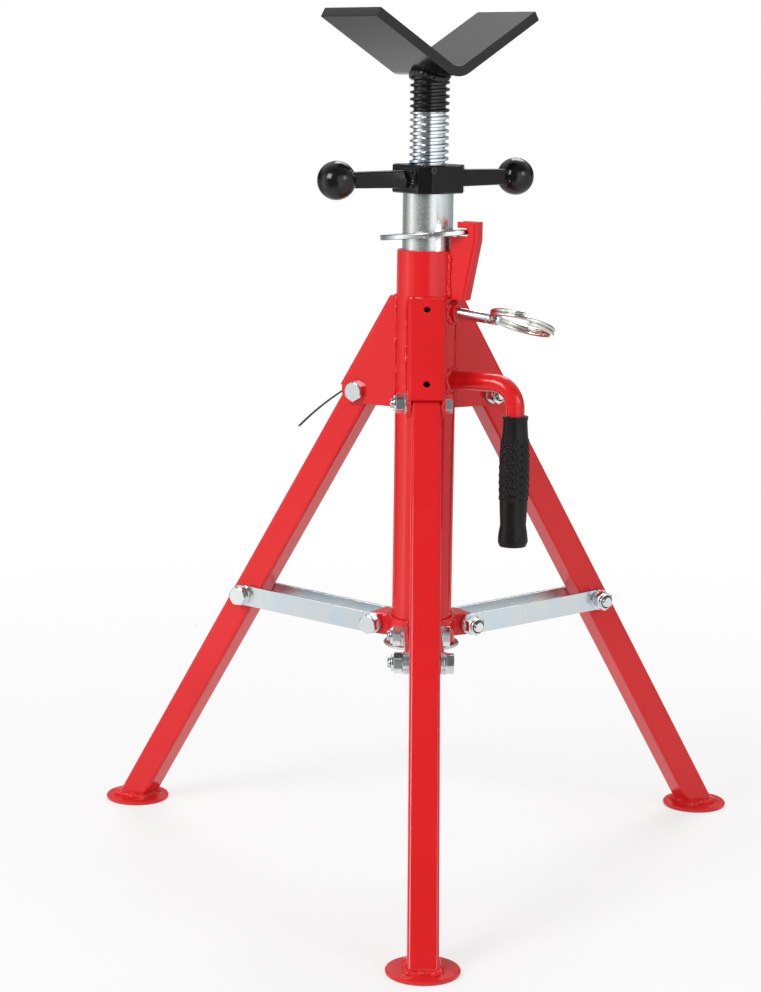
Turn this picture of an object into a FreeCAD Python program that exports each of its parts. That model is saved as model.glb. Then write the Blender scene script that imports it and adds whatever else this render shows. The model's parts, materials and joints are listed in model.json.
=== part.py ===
# A folding pipe stand: three hinged legs with braces to a sliding collar, a telescoping post
# held by a tilting friction plate and a ring pin, and a screw jack with a V head.
# Lengths are millimetres. +Z is up, and the origin is on the floor under the post's centre line.
# An azimuth is counted from the front (-Y) towards +X, and each spoke piece is drawn
# in its own plane first, with +X pointing outward, then turned to its azimuth.

import FreeCAD, Part
import math
import os

V = FreeCAD.Vector
ORIGIN = V(0, 0, 0)
AXIS_X, AXIS_Y, AXIS_Z = V(1, 0, 0), V(0, 1, 0), V(0, 0, 1)
QUARTER, HALF, FULL = 90.0, 180.0, 360.0
HEX_SIDES = 6

LEG_AZIMUTHS = {"front": 0.0, "right": 120.0, "left": 240.0}
LATCH_AZIMUTH = 60.0        # latch bracket, ring pin and carry handle share one side
VENT_AZIMUTH = 270.0
TOP_HOLE_AZIMUTH = 90.0

# clearances and helper lengths
seat_gap = 0.3              # between two pieces that only rest on each other
running_gap = 0.06          # radial, round a pin or shaft that turns
bolt_play = 0.25            # radial, round a bolt in a plain hole
overrun = 5.0               # how far a cutting body passes the skin it cuts
same_place = 0.001          # how near two edges are to count as one

# post
post_radius = 28.5
post_wall = 4.0
post_above_pivot = 136.5
pivot_above_stop = 238.0    # leg pivots above the stop plate
rim_chamfer = 0.8
vent_radius = 2.5
vent_below_rim = 9.0
stop_plate_thickness = 3.0
stop_plate_ledge = 7.7      # how far the plate stands out from the post
stop_plate_bore = 15.0
stop_plate_chamfer = 0.9

# legs
leg_width = 27.0
leg_wall = 2.2
leg_corner = 3.2
leg_angle = 31.2            # degrees from the post
leg_pivot_reach = 37.0      # pivot from the post's skin
leg_length = 518.0          # pivot to the foot plate, along the leg
leg_head = 13.5             # how far the tube runs above its pivot
leg_head_clip = 9.5
foot_radius = 32.0
foot_thickness = 4.4
foot_chamfer = 1.0
foot_weld = 4.0
sleeve_wall = 2.44

# leg brackets, bent from plate
bracket_plate = 3.4
bracket_side_gap = 0.8      # between the leg and each flange
bracket_web_gap = 2.1       # between the leg's outer face and the web
bracket_bend = 4.6
bracket_web_end = 4.4       # how far the web runs below the pivot
bracket_top_reach = 2.9     # web's upper end from the post's skin
bracket_ear = 15.6
bracket_ear_drop = 11.7
vent_hole_radius = 3.3
vent_hole_low = 15.4        # along the web, from its lower end
vent_hole_high = 90.9

# fasteners
bolt_radius = 5.0
bolt_head_flats = 17.0
bolt_head_height = 6.6
head_dish = 1.0             # chamfer of the hexagons' corners
nut_height = 8.0
nut_collar_height = 2.4
nut_collar_wall = 2.4
bolt_end = 3.0              # thread past the nut
washer_radius = 10.0
washer_thickness = 2.0

# collar that slides on the post, and its lugs
collar_wall = 3.05
collar_gap = 0.45           # radial, on the post
collar_height = 24.5
collar_rest_gap = 0.5
collar_chamfer = 0.8
lug_reach = 13.5            # lug's pivot from the collar's skin
lug_ear = 10.3
lug_plate = 3.4

# braces
brace_width = 20.0
brace_thickness = 3.6
brace_side_gap = 0.3
brace_leg_distance = 249.4  # leg pivot to brace pivot, along the leg
stub_gap = 0.15

# friction plate, and the latch bracket that holds its tail
friction_thickness = 5.0
friction_rise = 13.8        # middle of the plate above the post's rim
friction_angle = 5.7        # degrees
friction_gap = 0.18         # radial, on the inner tube when the plate is tilted
friction_side = 7.25        # plate beyond its hole, at the sides
friction_tail = 20.25       # and towards the latch bracket
friction_nose = 23.85       # and on the far side
friction_chamfer = 0.7
latch_width = 14.0
latch_plate = 3.0
latch_bend = 4.2
latch_outer_reach = 11.6    # bracket's back beyond the plate's tail
latch_foot_reach = 16.0     # bracket's foot from the post's skin
latch_foot_drop = 45.4      # below the post's rim
latch_knee_drop = 2.8       # below the slot
latch_crown = 5.7           # above the slot
latch_throat_reach = 6.4    # from the post's skin
slot_height = 8.2
slot_drop = 0.45            # slot's middle below the plate's tail
slot_end_gap = 2.2

# inner tube
tube_gap = 0.7              # radial, in the post
tube_wall = 4.0
tube_rise = 52.4            # tube's top above the post's rim
pin_hole_play = 0.8         # radial, round the ring pin
pin_hole_pitch = 50.0
pin_hole_count = 7
top_hole_radius = 4.0
top_hole_drop = 11.4
spot_azimuth = 24.6
spot_drop = 25.4
spot_radius = 2.4
spot_depth = 0.8

# ring pin and its split ring
pin_radius = 5.2
pin_drop = 57.6             # below the post's rim, at the boss's face
pin_angle = 5.0             # degrees, the pin leans down outward
pin_out = 44.5              # end of the pin from the boss's face
pin_point = 1.6
pin_eye_from_end = 5.0
pin_groove_depth = 0.7
pin_groove_from_end = 13.5
pin_groove_width = 1.4
boss_radius = 8.8
boss_height = 5.5
boss_play = 0.25
ring_radius = 29.8
ring_wire = 1.5
ring_layer_gap = 0.42
ring_half_turns = 4
ring_angle = 5.7            # degrees, of its droop,
ring_roll_angle = -21.3     # its roll
ring_yaw_angle = -8.0       # and how far it lies across its eye
eye_play = 0.6

# carry handle
rod_radius = 8.5
handle_drop = 120.2         # below the post's rim
handle_reach = 67.4         # grip's centre line from the post's skin
handle_bend = 23.0
grip_start = 6.3            # grip's mouth below the bend's end
grip_length = 122.3
grip_wall = 2.9
grip_belly = 2.3            # how much fuller than its neck the grip's middle is,
grip_waist = 0.7            # the waist above its flare,
grip_flare = 2.4            # its flared end
grip_flange = 0.8           # and the rim at its mouth
grip_flange_height = 2.5
grip_flare_height = 18.0
grip_end_wall = 5.0
grip_round = 2.5

# screw jack
screw_radius = 18.5
screw_length = 323.2
screw_out = 80.8            # from the nut's top to the V head
nut_flats = 56.0
nut_corner_flat = 12.9
nut_tall = 26.3
nut_edge = 1.2
arm_azimuth = 129.0         # of the right arm, and the left one is opposite
arm_height = 16.7
arm_width = 12.4
arm_end_height = 14.6
arm_end_width = 11.2
arm_round = 2.0
ball_radius = 17.8
ball_reach = 108.3
ball_bury = 9.0
stop_bolt_radius = 6.0
stop_bolt_flats = 19.0
stop_bolt_head = 7.5
stop_bolt_depth = 24.0
stop_washer_gap = 0.4       # radial, in the tube's bore
stop_washer_play = 0.6      # radial, round its bolt
stop_washer_thickness = 4.0

# V head
head_azimuth = 38.0         # the trough's near end, from the front
head_thickness = 9.5
head_angle = 30.5           # degrees
head_inner_bend = 16.5
head_length = 83.2
head_wing = 95.8            # flat part of each wing, along its underside
head_edge = 0.6
head_weld_leg = 4.6

# cable tie left on the left leg's bolt
tie_width = 3.6
tie_thickness = 1.2
tie_head_length = 6.0
tie_head_height = 4.6
tie_loop_gap = 0.15
tie_head_angle = 52.0       # degrees
tie_tail_out = 78.0
tie_tail_drop = 55.0
tie_tail_bow = 3.5


# places worked out from the sizes above
lean = math.radians(leg_angle)
leg_down = V(math.sin(lean), 0, -math.cos(lean))
leg_out = V(math.cos(lean), 0, math.sin(lean))
leg_pivot = V(post_radius + leg_pivot_reach, 0, foot_thickness + leg_length * math.cos(lean))
leg_half = leg_width / 2
stop_plate_top = leg_pivot.z - pivot_above_stop
stop_plate_underside = stop_plate_top - stop_plate_thickness
stop_plate_radius = post_radius + stop_plate_ledge
post_top = leg_pivot.z + post_above_pivot

sleeve_bore = bolt_radius + running_gap
sleeve_radius = sleeve_bore + sleeve_wall
collar_bore = post_radius + collar_gap
collar_radius = collar_bore + collar_wall
collar_bottom = stop_plate_top + collar_rest_gap
collar_top = collar_bottom + collar_height
lug_pivot = V(collar_radius + lug_reach, 0, collar_top - lug_ear)
brace_pivot = leg_pivot + leg_down * brace_leg_distance
bracket_inner = leg_half + bracket_side_gap
bracket_outer = bracket_inner + bracket_plate
web_inner = leg_half + bracket_web_gap
web_outer = web_inner + bracket_plate
bar_inner = leg_half + brace_side_gap
bar_outer = bar_inner + brace_thickness

tube_radius = post_radius - post_wall - tube_gap
tube_bore = tube_radius - tube_wall
tube_bottom = stop_plate_top + seat_gap
tube_top = post_top + tube_rise
nut_bottom = tube_top + seat_gap
nut_top = nut_bottom + nut_tall
head_bottom = nut_top + screw_out
screw_bottom = head_bottom - screw_length

pin_lean = math.radians(pin_angle)
pin_along = V(math.cos(pin_lean), 0, -math.sin(pin_lean))
pin_height = post_top - pin_drop
boss_face = post_radius + boss_height
ring_pitch = ring_wire * 2 + ring_layer_gap

plate_tilt = math.radians(friction_angle)
friction_height = post_top + friction_rise
friction_grip = tube_radius + friction_gap + math.sin(plate_tilt) * friction_thickness / 2
friction_bore = friction_grip / math.cos(plate_tilt)
tail_reach = (friction_bore + friction_tail) * math.cos(plate_tilt)
tail_height = friction_height + (friction_bore + friction_tail) * math.sin(plate_tilt)
slot_low = tail_height - slot_drop - slot_height / 2
slot_high = slot_low + slot_height
slot_end = tail_reach + slot_end_gap
latch_outer = tail_reach + latch_outer_reach
latch_top = slot_high + latch_crown
latch_knee = slot_low - latch_knee_drop
latch_foot = post_top - latch_foot_drop
latch_foot_radius = post_radius + latch_foot_reach
latch_throat = post_radius + latch_throat_reach

handle_height = post_top - handle_drop
handle_centre = post_radius + handle_reach
grip_top = handle_height - handle_bend - grip_start
grip_bottom = grip_top - grip_length


def spoke(shape, azimuth):
    """Turns a piece drawn with +X outward to its azimuth."""
    turned = shape.copy()
    turned.rotate(ORIGIN, AXIS_Z, azimuth - QUARTER)
    return turned


def save(name, *shapes):
    """Writes one node, of one solid or of a group of separate ones."""
    solids = [solid for shape in shapes for solid in shape.Solids]
    whole = solids[0] if len(solids) == 1 else Part.makeCompound(solids)
    whole.exportStep("parts/" + name + ".step")


def rod(start, end, radius):
    """A round bar from one point to another."""
    return Part.makeCylinder(radius, (end - start).Length, start, end - start)


def cross_rod(centre, radius, low, high):
    """A cylinder along Y through a point of the drawing plane, from Y = low to Y = high."""
    return rod(V(centre.x, low, centre.z), V(centre.x, high, centre.z), radius)


def post_cylinder(radius, low, high):
    """A cylinder about the post's centre line between two heights."""
    return Part.makeCylinder(radius, high - low, V(0, 0, low))


def slab(edges, low, high):
    """Extrudes a closed outline of the XZ plane from Y = low to Y = high."""
    face = Part.Face(Part.Wire(edges))
    face.translate(V(0, low, 0))
    return face.extrude(V(0, high - low, 0))


def polygon(points):
    """The edges of a closed outline with straight sides."""
    return Part.makePolygon(points + points[:1]).Edges


def arc(start, middle, end):
    """An arc's edge through three points."""
    return Part.Arc(start, middle, end).toShape()


def line(start, end):
    """A straight edge."""
    return Part.LineSegment(start, end).toShape()


def leg_point(along, outward):
    """A point of the leg's plane: down the leg from its pivot, and out from its centre line."""
    return leg_pivot + leg_down * along + leg_out * outward


def long_edges(shape, points, direction):
    """Straight edges that run along a direction through any of the given points."""
    found = []
    for edge in shape.Edges:
        if not isinstance(edge.Curve, Part.Line):
            continue
        start = edge.Vertexes[0].Point
        if (edge.Vertexes[1].Point - start).cross(direction).Length > same_place:
            continue
        if any((point - start).cross(direction).Length < same_place for point in points):
            found.append(edge)
    return found


def circles(shape, radius, heights):
    """The level circular edges of one radius at the given heights."""
    return [edge for edge in shape.Edges if isinstance(edge.Curve, Part.Circle)
            and abs(edge.Curve.Radius - radius) < same_place
            and any(abs(edge.Curve.Center.z - height) < same_place for height in heights)]


def hexagon(flats, height, base, direction):
    """A hexagonal prism with its corners chamfered at the far end."""
    corner = flats / math.sqrt(3)
    angles = [math.radians(FULL * k / HEX_SIDES) for k in range(HEX_SIDES)]
    ring = [V(corner * math.cos(angle), corner * math.sin(angle), 0) for angle in angles]
    prism = Part.Face(Part.makePolygon(ring + ring[:1])).extrude(V(0, 0, height))
    dome = Part.makeCone(corner + height, corner - head_dish, height + head_dish)
    prism = prism.common(dome)
    prism.Placement = FreeCAD.Placement(base, FreeCAD.Rotation(AXIS_Z, direction))
    return prism


def bolt_head(centre, at):
    """The head's underside is at Y = at, and it grows towards +Y."""
    return hexagon(bolt_head_flats, bolt_head_height, V(centre.x, at, centre.z), AXIS_Y)


def lock_nut(centre, at):
    """A nut with a nylon collar, growing from Y = at towards -Y."""
    nut = hexagon(bolt_head_flats, nut_height, V(centre.x, at, centre.z), -AXIS_Y)
    far = at - nut_height
    collar = cross_rod(centre, bolt_radius + nut_collar_wall, far - nut_collar_height, far)
    hole = cross_rod(centre, bolt_radius, far - nut_collar_height - overrun, at + overrun)
    return nut.fuse(collar).cut(hole)


def washer(centre, low, high):
    """A flat washer round a bolt, from Y = low to Y = high."""
    disc = cross_rod(centre, washer_radius, low, high)
    return disc.cut(cross_rod(centre, bolt_radius + bolt_play, low - overrun, high + overrun))


def make_post():
    """The outer tube: a chamfered rim, a small vent below it and the ring pin's hole."""
    tube = post_cylinder(post_radius, stop_plate_top, post_top)
    tube = tube.makeChamfer(rim_chamfer, circles(tube, post_radius, [post_top]))
    tube = tube.cut(post_cylinder(post_radius - post_wall, stop_plate_top - overrun, post_top + overrun))
    vent_at = post_top - vent_below_rim
    vent = rod(V(post_radius - post_wall - overrun, 0, vent_at),
               V(post_radius + overrun, 0, vent_at), vent_radius)
    save("post_tube", tube.cut(spoke(vent, VENT_AZIMUTH)).cut(spoke(pin_bore(), LATCH_AZIMUTH)))


def make_stop_plate():
    """The round plate under the post, which carries the inner tube and stops the collar."""
    plate = post_cylinder(stop_plate_radius, stop_plate_underside, stop_plate_top)
    rims = circles(plate, stop_plate_radius, [stop_plate_underside, stop_plate_top])
    plate = plate.makeChamfer(stop_plate_chamfer, rims)
    save("collar_stop_plate", plate.cut(post_cylinder(
        stop_plate_bore, stop_plate_underside - overrun, stop_plate_top + overrun)))


def make_leg_brackets():
    """A channel bent from plate: its web lies along the leg, its flanges hold the pivot."""
    web_top = (post_radius + bracket_top_reach - leg_pivot.x - web_outer * leg_out.x) / leg_down.x
    top = leg_point(web_top, web_outer)
    web_end = leg_point(bracket_web_end, web_outer)
    web_end_inner = leg_point(bracket_web_end, web_inner)
    ear_start = leg_pivot + AXIS_X * bracket_ear
    ear_foot = leg_pivot + V(math.sqrt(bracket_ear ** 2 - bracket_ear_drop ** 2), 0, -bracket_ear_drop)
    halfway = (ear_foot + ear_start - leg_pivot * 2).normalize()
    ear_middle = leg_pivot + halfway * bracket_ear
    inside = post_radius - bracket_outer / 2
    outline = [line(V(inside, 0, ear_foot.z), V(inside, 0, top.z)), line(V(inside, 0, top.z), top),
               line(top, web_end), line(web_end, web_end_inner), line(web_end_inner, ear_start),
               arc(ear_start, ear_middle, ear_foot), line(ear_foot, V(inside, 0, ear_foot.z))]
    body = slab(outline, -bracket_outer, bracket_outer)
    bends = [leg_point(0, web_outer) + AXIS_Y * side for side in (-bracket_outer, bracket_outer)]
    body = body.makeFillet(bracket_bend, long_edges(body, bends, leg_down))
    pocket = slab(polygon([leg_point(web_top - bracket_ear * 2, web_inner),
                           leg_point(leg_length, web_inner),
                           leg_point(leg_length, -leg_length), leg_point(-leg_length, -leg_length)]),
                  -bracket_inner, bracket_inner)
    body = body.cut(pocket).cut(post_cylinder(post_radius, 0, post_top))
    body = body.cut(cross_rod(leg_pivot, bolt_radius + bolt_play,
                              -bracket_outer - overrun, bracket_outer + overrun))
    for distance in (vent_hole_low, vent_hole_high):
        along = bracket_web_end - distance
        body = body.cut(rod(leg_point(along, web_inner - overrun),
                            leg_point(along, web_outer + overrun), vent_hole_radius))
    for name, azimuth in LEG_AZIMUTHS.items():
        save("leg_bracket_" + name, spoke(body, azimuth))


def make_latch_bracket():
    """A narrow channel with a slot in both flanges that holds the friction plate's tail."""
    half = latch_width / 2
    foot, knee = V(latch_foot_radius, 0, latch_foot), V(latch_outer, 0, latch_knee)
    body = slab(polygon([V(0, 0, latch_foot), foot, knee, V(latch_outer, 0, latch_top),
                         V(latch_throat, 0, latch_top), V(latch_throat, 0, slot_high),
                         V(0, 0, slot_high)]), -half, half)
    slope = (knee - foot).normalize()
    corners = [knee + AXIS_Y * side for side in (-half, half)]
    bends = long_edges(body, corners, AXIS_Z) + long_edges(body, corners, slope)
    body = body.makeFillet(latch_bend, bends)
    inner_knee = knee - AXIS_X * latch_plate
    inner_foot = inner_knee - slope * ((latch_knee - latch_foot + overrun) / slope.z)
    pocket = slab(polygon([V(-overrun, 0, inner_foot.z), inner_foot, inner_knee,
                           inner_knee + AXIS_Z * (latch_top - latch_knee + overrun),
                           V(-overrun, 0, latch_top + overrun)]), -half + latch_plate, half - latch_plate)
    slot_radius = slot_height / 2
    slot_middle = V(slot_end - slot_radius, 0, slot_low + slot_radius)
    slot = slab(polygon([V(0, 0, slot_low), V(slot_middle.x, 0, slot_low),
                         V(slot_middle.x, 0, slot_high), V(0, 0, slot_high)]),
                -half - overrun, half + overrun)
    slot = slot.fuse(cross_rod(slot_middle, slot_radius, -half - overrun, half + overrun))
    body = body.cut(pocket).cut(slot).cut(post_cylinder(post_radius, 0, latch_top + overrun))
    save("latch_bracket", spoke(body, LATCH_AZIMUTH))


def pin_point_at(reach):
    """A point on the ring pin's sloping centre line, by its distance from the post's axis."""
    return V(reach, 0, pin_height - (reach - boss_face) * math.tan(pin_lean))


def pin_bore():
    """The sloping hole for the ring pin through the post's wall and the boss."""
    return rod(pin_point_at(tube_radius - tube_wall / 2), pin_point_at(boss_face + overrun),
               pin_radius + boss_play)


def make_pin_boss():
    """The short welded boss that guides the ring pin."""
    boss = rod(pin_point_at(post_radius - post_wall), pin_point_at(boss_face), boss_radius)
    boss = boss.cut(post_cylinder(post_radius, 0, post_top)).cut(pin_bore())
    save("pin_boss", spoke(boss, LATCH_AZIMUTH))


def make_ring_pin():
    """The pin is drawn back, with its point just clear of the inner tube."""
    end = pin_point_at(boss_face) + pin_along * pin_out
    pin = rod(pin_point_at(tube_radius + seat_gap), end, pin_radius)
    pin = pin.makeChamfer(pin_point, [edge for edge in pin.Edges if isinstance(edge.Curve, Part.Circle)])
    groove_at = end - pin_along * pin_groove_from_end
    groove_end = groove_at + pin_along * pin_groove_width
    groove = rod(groove_at, groove_end, pin_radius + overrun)
    groove = groove.cut(rod(groove_at, groove_end, pin_radius - pin_groove_depth))
    eye = end - pin_along * pin_eye_from_end
    eye_radius = ring_wire + ring_pitch / 2 + eye_play
    hole = Part.makeCylinder(eye_radius, pin_radius * 4, V(0, 0, -pin_radius * 2))
    hole.rotate(ORIGIN, AXIS_X, ring_roll_angle - QUARTER)
    hole.translate(eye)
    save("ring_pin", spoke(pin.cut(groove).cut(hole), LATCH_AZIMUTH))
    make_split_ring(eye)


def make_split_ring(eye):
    """A wire wound twice round in half turns, each a half torus in its own slightly tilted plane."""
    halves = []
    for turn in range(ring_half_turns):
        side = 1 if turn % 2 == 0 else -1
        start = V(side * ring_radius, 0, turn * ring_pitch / 2)
        middle = V(0, 0, start.z + ring_pitch / 4)
        wire_end = Part.Face(Part.Wire(Part.makeCircle(ring_wire, start, AXIS_Y)))
        halves.append(wire_end.revolve(middle, (start - middle).cross(AXIS_Y * side), HALF))
    ring = halves[0].fuse(halves[1:])
    # the start is opposite the eye, the ring leans out and rolls towards its far side
    ring.translate(V(ring_radius, 0, -ring_pitch * ring_half_turns / 4))
    ring.rotate(ORIGIN, AXIS_Z, ring_yaw_angle)
    ring.rotate(ORIGIN, AXIS_X, ring_roll_angle)
    ring.rotate(ORIGIN, AXIS_Y, ring_angle)
    ring.translate(eye)
    save("pin_ring", spoke(ring, LATCH_AZIMUTH))


def make_handle():
    """A round rod out of the post, bent down into the grip."""
    bend_start = V(handle_centre - handle_bend, 0, handle_height)
    bend_centre = bend_start - AXIS_Z * handle_bend
    bend_end = bend_centre + AXIS_X * handle_bend
    section = Part.Face(Part.Wire(Part.makeCircle(rod_radius, bend_start, AXIS_X)))
    bar = rod(V(post_radius - post_wall, 0, handle_height), bend_start, rod_radius)
    bar = bar.fuse([section.revolve(bend_centre, AXIS_Y, QUARTER),
                    rod(bend_end, V(handle_centre, 0, grip_bottom + grip_end_wall), rod_radius)])
    save("carry_handle", spoke(bar.cut(post_cylinder(post_radius, 0, post_top)), LATCH_AZIMUTH))


def make_grip():
    """A rubber grip with a rim at its mouth, a full belly and a flared, closed lower end."""
    radius = rod_radius + grip_wall
    rim_radius = radius + grip_flange
    end_radius = radius + grip_flare
    upper = V(radius, 0, grip_top - grip_flange_height)
    belly = V(radius + grip_belly, 0, (grip_top + grip_bottom) / 2)
    waist = V(radius + grip_waist, 0, grip_bottom + grip_flare_height)
    flare = V(end_radius, 0, grip_bottom + grip_flare_height / 2)
    round_top = V(end_radius, 0, grip_bottom + grip_round)
    round_end = V(end_radius - grip_round, 0, grip_bottom)
    profile = [line(V(0, 0, grip_top), V(rim_radius, 0, grip_top)),
               line(V(rim_radius, 0, grip_top), V(rim_radius, 0, upper.z)),
               line(V(rim_radius, 0, upper.z), upper), arc(upper, belly, waist), line(waist, flare),
               line(flare, round_top), line(round_top, round_end),
               line(round_end, V(0, 0, grip_bottom)), line(V(0, 0, grip_bottom), V(0, 0, grip_top))]
    grip = Part.Face(Part.Wire(profile)).revolve(ORIGIN, AXIS_Z, FULL)
    grip = grip.cut(post_cylinder(rod_radius, grip_bottom + grip_end_wall, grip_top + overrun))
    grip.translate(V(handle_centre, 0, 0))
    save("handle_grip", spoke(grip, LATCH_AZIMUTH))


def make_leg_pivot_fasteners():
    """A bolt through each bracket and leg, with a washer and a nut on its far side."""
    nut_face = -bracket_outer - washer_thickness
    tail = nut_face - nut_height - nut_collar_height - bolt_end
    shank = cross_rod(leg_pivot, bolt_radius, tail, bracket_outer)
    bolt = bolt_head(leg_pivot, bracket_outer).fuse(shank)
    nut = lock_nut(leg_pivot, nut_face)
    ring = washer(leg_pivot, nut_face, -bracket_outer)
    azimuths = LEG_AZIMUTHS.values()
    save("leg_pivot_bolts", *[spoke(bolt, azimuth) for azimuth in azimuths])
    save("leg_pivot_nuts", *[spoke(nut, azimuth) for azimuth in azimuths])
    save("leg_pivot_washers", *[spoke(ring, azimuth) for azimuth in azimuths])


def leg_solid(half, corner):
    """A square bar with rounded corners along the leg, from above its pivot to below the floor."""
    low, high = -leg_length - leg_width, leg_head
    block = Part.makeBox(half * 2, half * 2, high - low, V(-half, -half, low))
    corners = [V(x, y, low) for x in (-half, half) for y in (-half, half)]
    block = block.makeFillet(corner, long_edges(block, corners, AXIS_Z))
    block.rotate(ORIGIN, AXIS_Y, -leg_angle)
    block.translate(leg_pivot)
    return block


def make_legs():
    """Square tubes cut level on their foot plates, with the head's outer corner clipped."""
    outer = leg_solid(leg_half, leg_corner)
    tube = outer.cut(leg_solid(leg_half - leg_wall, leg_corner - leg_wall))
    below = V(0, -leg_length / 2, foot_thickness - leg_length)
    floor_cut = Part.makeBox(leg_length * 2, leg_length, leg_length, below)
    clip_high = -leg_head - overrun
    clip_low = leg_half + overrun
    clip = slab(polygon([leg_point(clip_high, leg_half - leg_head_clip - overrun),
                         leg_point(clip_high, clip_low),
                         leg_point(-leg_head + leg_head_clip + overrun, clip_low)]),
                -leg_width, leg_width)
    tube = tube.cut(floor_cut).cut(clip)
    tube = tube.cut(cross_rod(leg_pivot, sleeve_radius, -leg_width, leg_width))
    tube = tube.cut(cross_rod(brace_pivot, bolt_radius + running_gap, -leg_width, leg_width))
    sleeve_half = bracket_inner - seat_gap
    sleeve = cross_rod(leg_pivot, sleeve_radius, -sleeve_half, sleeve_half)
    sleeve = sleeve.cut(cross_rod(leg_pivot, sleeve_bore, -leg_width, leg_width))
    shank = cross_rod(brace_pivot, bolt_radius, -leg_half, leg_half)
    foot = make_foot(outer)
    for name, azimuth in LEG_AZIMUTHS.items():
        save("leg_tube_" + name, spoke(tube, azimuth))
        save("leg_sleeve_" + name, spoke(sleeve, azimuth))
        save("leg_cross_pin_" + name, spoke(shank, azimuth))
        save("foot_plate_" + name, spoke(foot, azimuth))


def make_foot(leg_outer):
    """A round foot plate with the weld that runs round the leg's end."""
    centre = leg_pivot + leg_down * leg_length
    plate = Part.makeCylinder(foot_radius, foot_thickness, V(centre.x, 0, 0))
    plate = plate.makeChamfer(foot_chamfer, circles(plate, foot_radius, [0, foot_thickness]))
    long_half = leg_half / math.cos(lean)
    low = foot_ring(centre, long_half + foot_weld, leg_half + foot_weld)
    high = foot_ring(centre + leg_down * (-foot_weld / math.cos(lean)), long_half, leg_half)
    weld = Part.makeLoft([low, high], True, True)
    return plate.fuse(weld.cut(leg_outer))


def foot_ring(centre, half_x, half_y):
    """A level rectangle round the leg's end, from its centre and two half widths."""
    corners = [centre + V(sx * half_x, sy * half_y, 0)
               for sx, sy in ((-1, -1), (1, -1), (1, 1), (-1, 1))]
    return Part.makePolygon(corners + corners[:1])


def make_collar():
    """The sliding collar: a ring with three lugs bent from plate, open below."""
    ring = post_cylinder(collar_radius, collar_bottom, collar_top)
    ring = ring.makeChamfer(collar_chamfer, circles(ring, collar_radius, [collar_bottom, collar_top]))
    ring = ring.cut(post_cylinder(collar_bore, collar_bottom - overrun, collar_top + overrun))
    save("collar_ring", ring)
    inside = collar_radius - leg_half
    low, high = lug_pivot.z - lug_ear, lug_pivot.z + lug_ear
    crown, root = V(lug_pivot.x, 0, high), V(lug_pivot.x, 0, low)
    outline = [line(V(inside, 0, low), V(inside, 0, high)), line(V(inside, 0, high), crown),
               arc(crown, V(lug_pivot.x + lug_ear, 0, lug_pivot.z), root), line(root, V(inside, 0, low))]
    lug = slab(outline, -leg_half, leg_half)
    pocket_half = leg_half - lug_plate
    pocket = Part.makeBox(lug_pivot.x + lug_ear * 2, pocket_half * 2, lug_ear * 2 - lug_plate,
                          V(0, -pocket_half, low))
    lug = lug.cut(pocket).cut(post_cylinder(collar_radius, 0, post_top))
    lug = lug.cut(cross_rod(lug_pivot, bolt_radius + bolt_play, -leg_width, leg_width))
    save("collar_lugs", *[spoke(lug, azimuth) for azimuth in LEG_AZIMUTHS.values()])


def make_collar_fasteners():
    """A bolt through each lug and its two braces, with a washer at both ends and a nut."""
    washers = []
    head_face = bar_outer + brace_side_gap + washer_thickness
    nut_face = -head_face
    tail = nut_face - nut_height - nut_collar_height - bolt_end
    bolt = bolt_head(lug_pivot, head_face).fuse(cross_rod(lug_pivot, bolt_radius, tail, head_face))
    nut = lock_nut(lug_pivot, nut_face)
    azimuths = LEG_AZIMUTHS.values()
    for azimuth in azimuths:
        for low in (head_face - washer_thickness, nut_face):
            washers.append(spoke(washer(lug_pivot, low, low + washer_thickness), azimuth))
    save("collar_bolts", *[spoke(bolt, azimuth) for azimuth in azimuths])
    save("collar_nuts", *[spoke(nut, azimuth) for azimuth in azimuths])
    save("collar_washers", *washers)


def make_braces():
    """Two flat bars for each leg, one on each side, with the outer bolt's two ends."""
    span = brace_pivot - lug_pivot
    across = V(-span.z, 0, span.x).normalize() * (brace_width / 2)
    ahead = V(span.x, 0, span.z).normalize() * (brace_width / 2)
    outline = [line(lug_pivot + across, brace_pivot + across),
               arc(brace_pivot + across, brace_pivot + ahead, brace_pivot - across),
               line(brace_pivot - across, lug_pivot - across),
               arc(lug_pivot - across, lug_pivot - ahead, lug_pivot + across)]
    stub = leg_half + stub_gap
    head_face = bar_outer + washer_thickness
    tail = -head_face - nut_height - nut_collar_height - bolt_end
    bolt = bolt_head(brace_pivot, head_face).fuse(cross_rod(brace_pivot, bolt_radius, stub, head_face))
    nut = lock_nut(brace_pivot, -head_face).fuse(cross_rod(brace_pivot, bolt_radius, tail, -stub))
    head_washer = washer(brace_pivot, bar_outer, head_face)
    nut_washer = washer(brace_pivot, -head_face, -bar_outer)
    for side, low in (("head", bar_inner), ("nut", -bar_outer)):
        high = low + brace_thickness
        bar = slab(outline, low, high)
        bar = bar.cut(cross_rod(lug_pivot, bolt_radius + running_gap, low - overrun, high + overrun))
        bar = bar.cut(cross_rod(brace_pivot, bolt_radius, low - overrun, high + overrun))
        for name, azimuth in LEG_AZIMUTHS.items():
            save("brace_bar_" + name + "_" + side + "_side", spoke(bar, azimuth))
    for name, azimuth in LEG_AZIMUTHS.items():
        save("brace_bolt_" + name, spoke(bolt, azimuth), spoke(head_washer, azimuth))
        save("brace_nut_" + name, spoke(nut, azimuth), spoke(nut_washer, azimuth))


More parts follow.
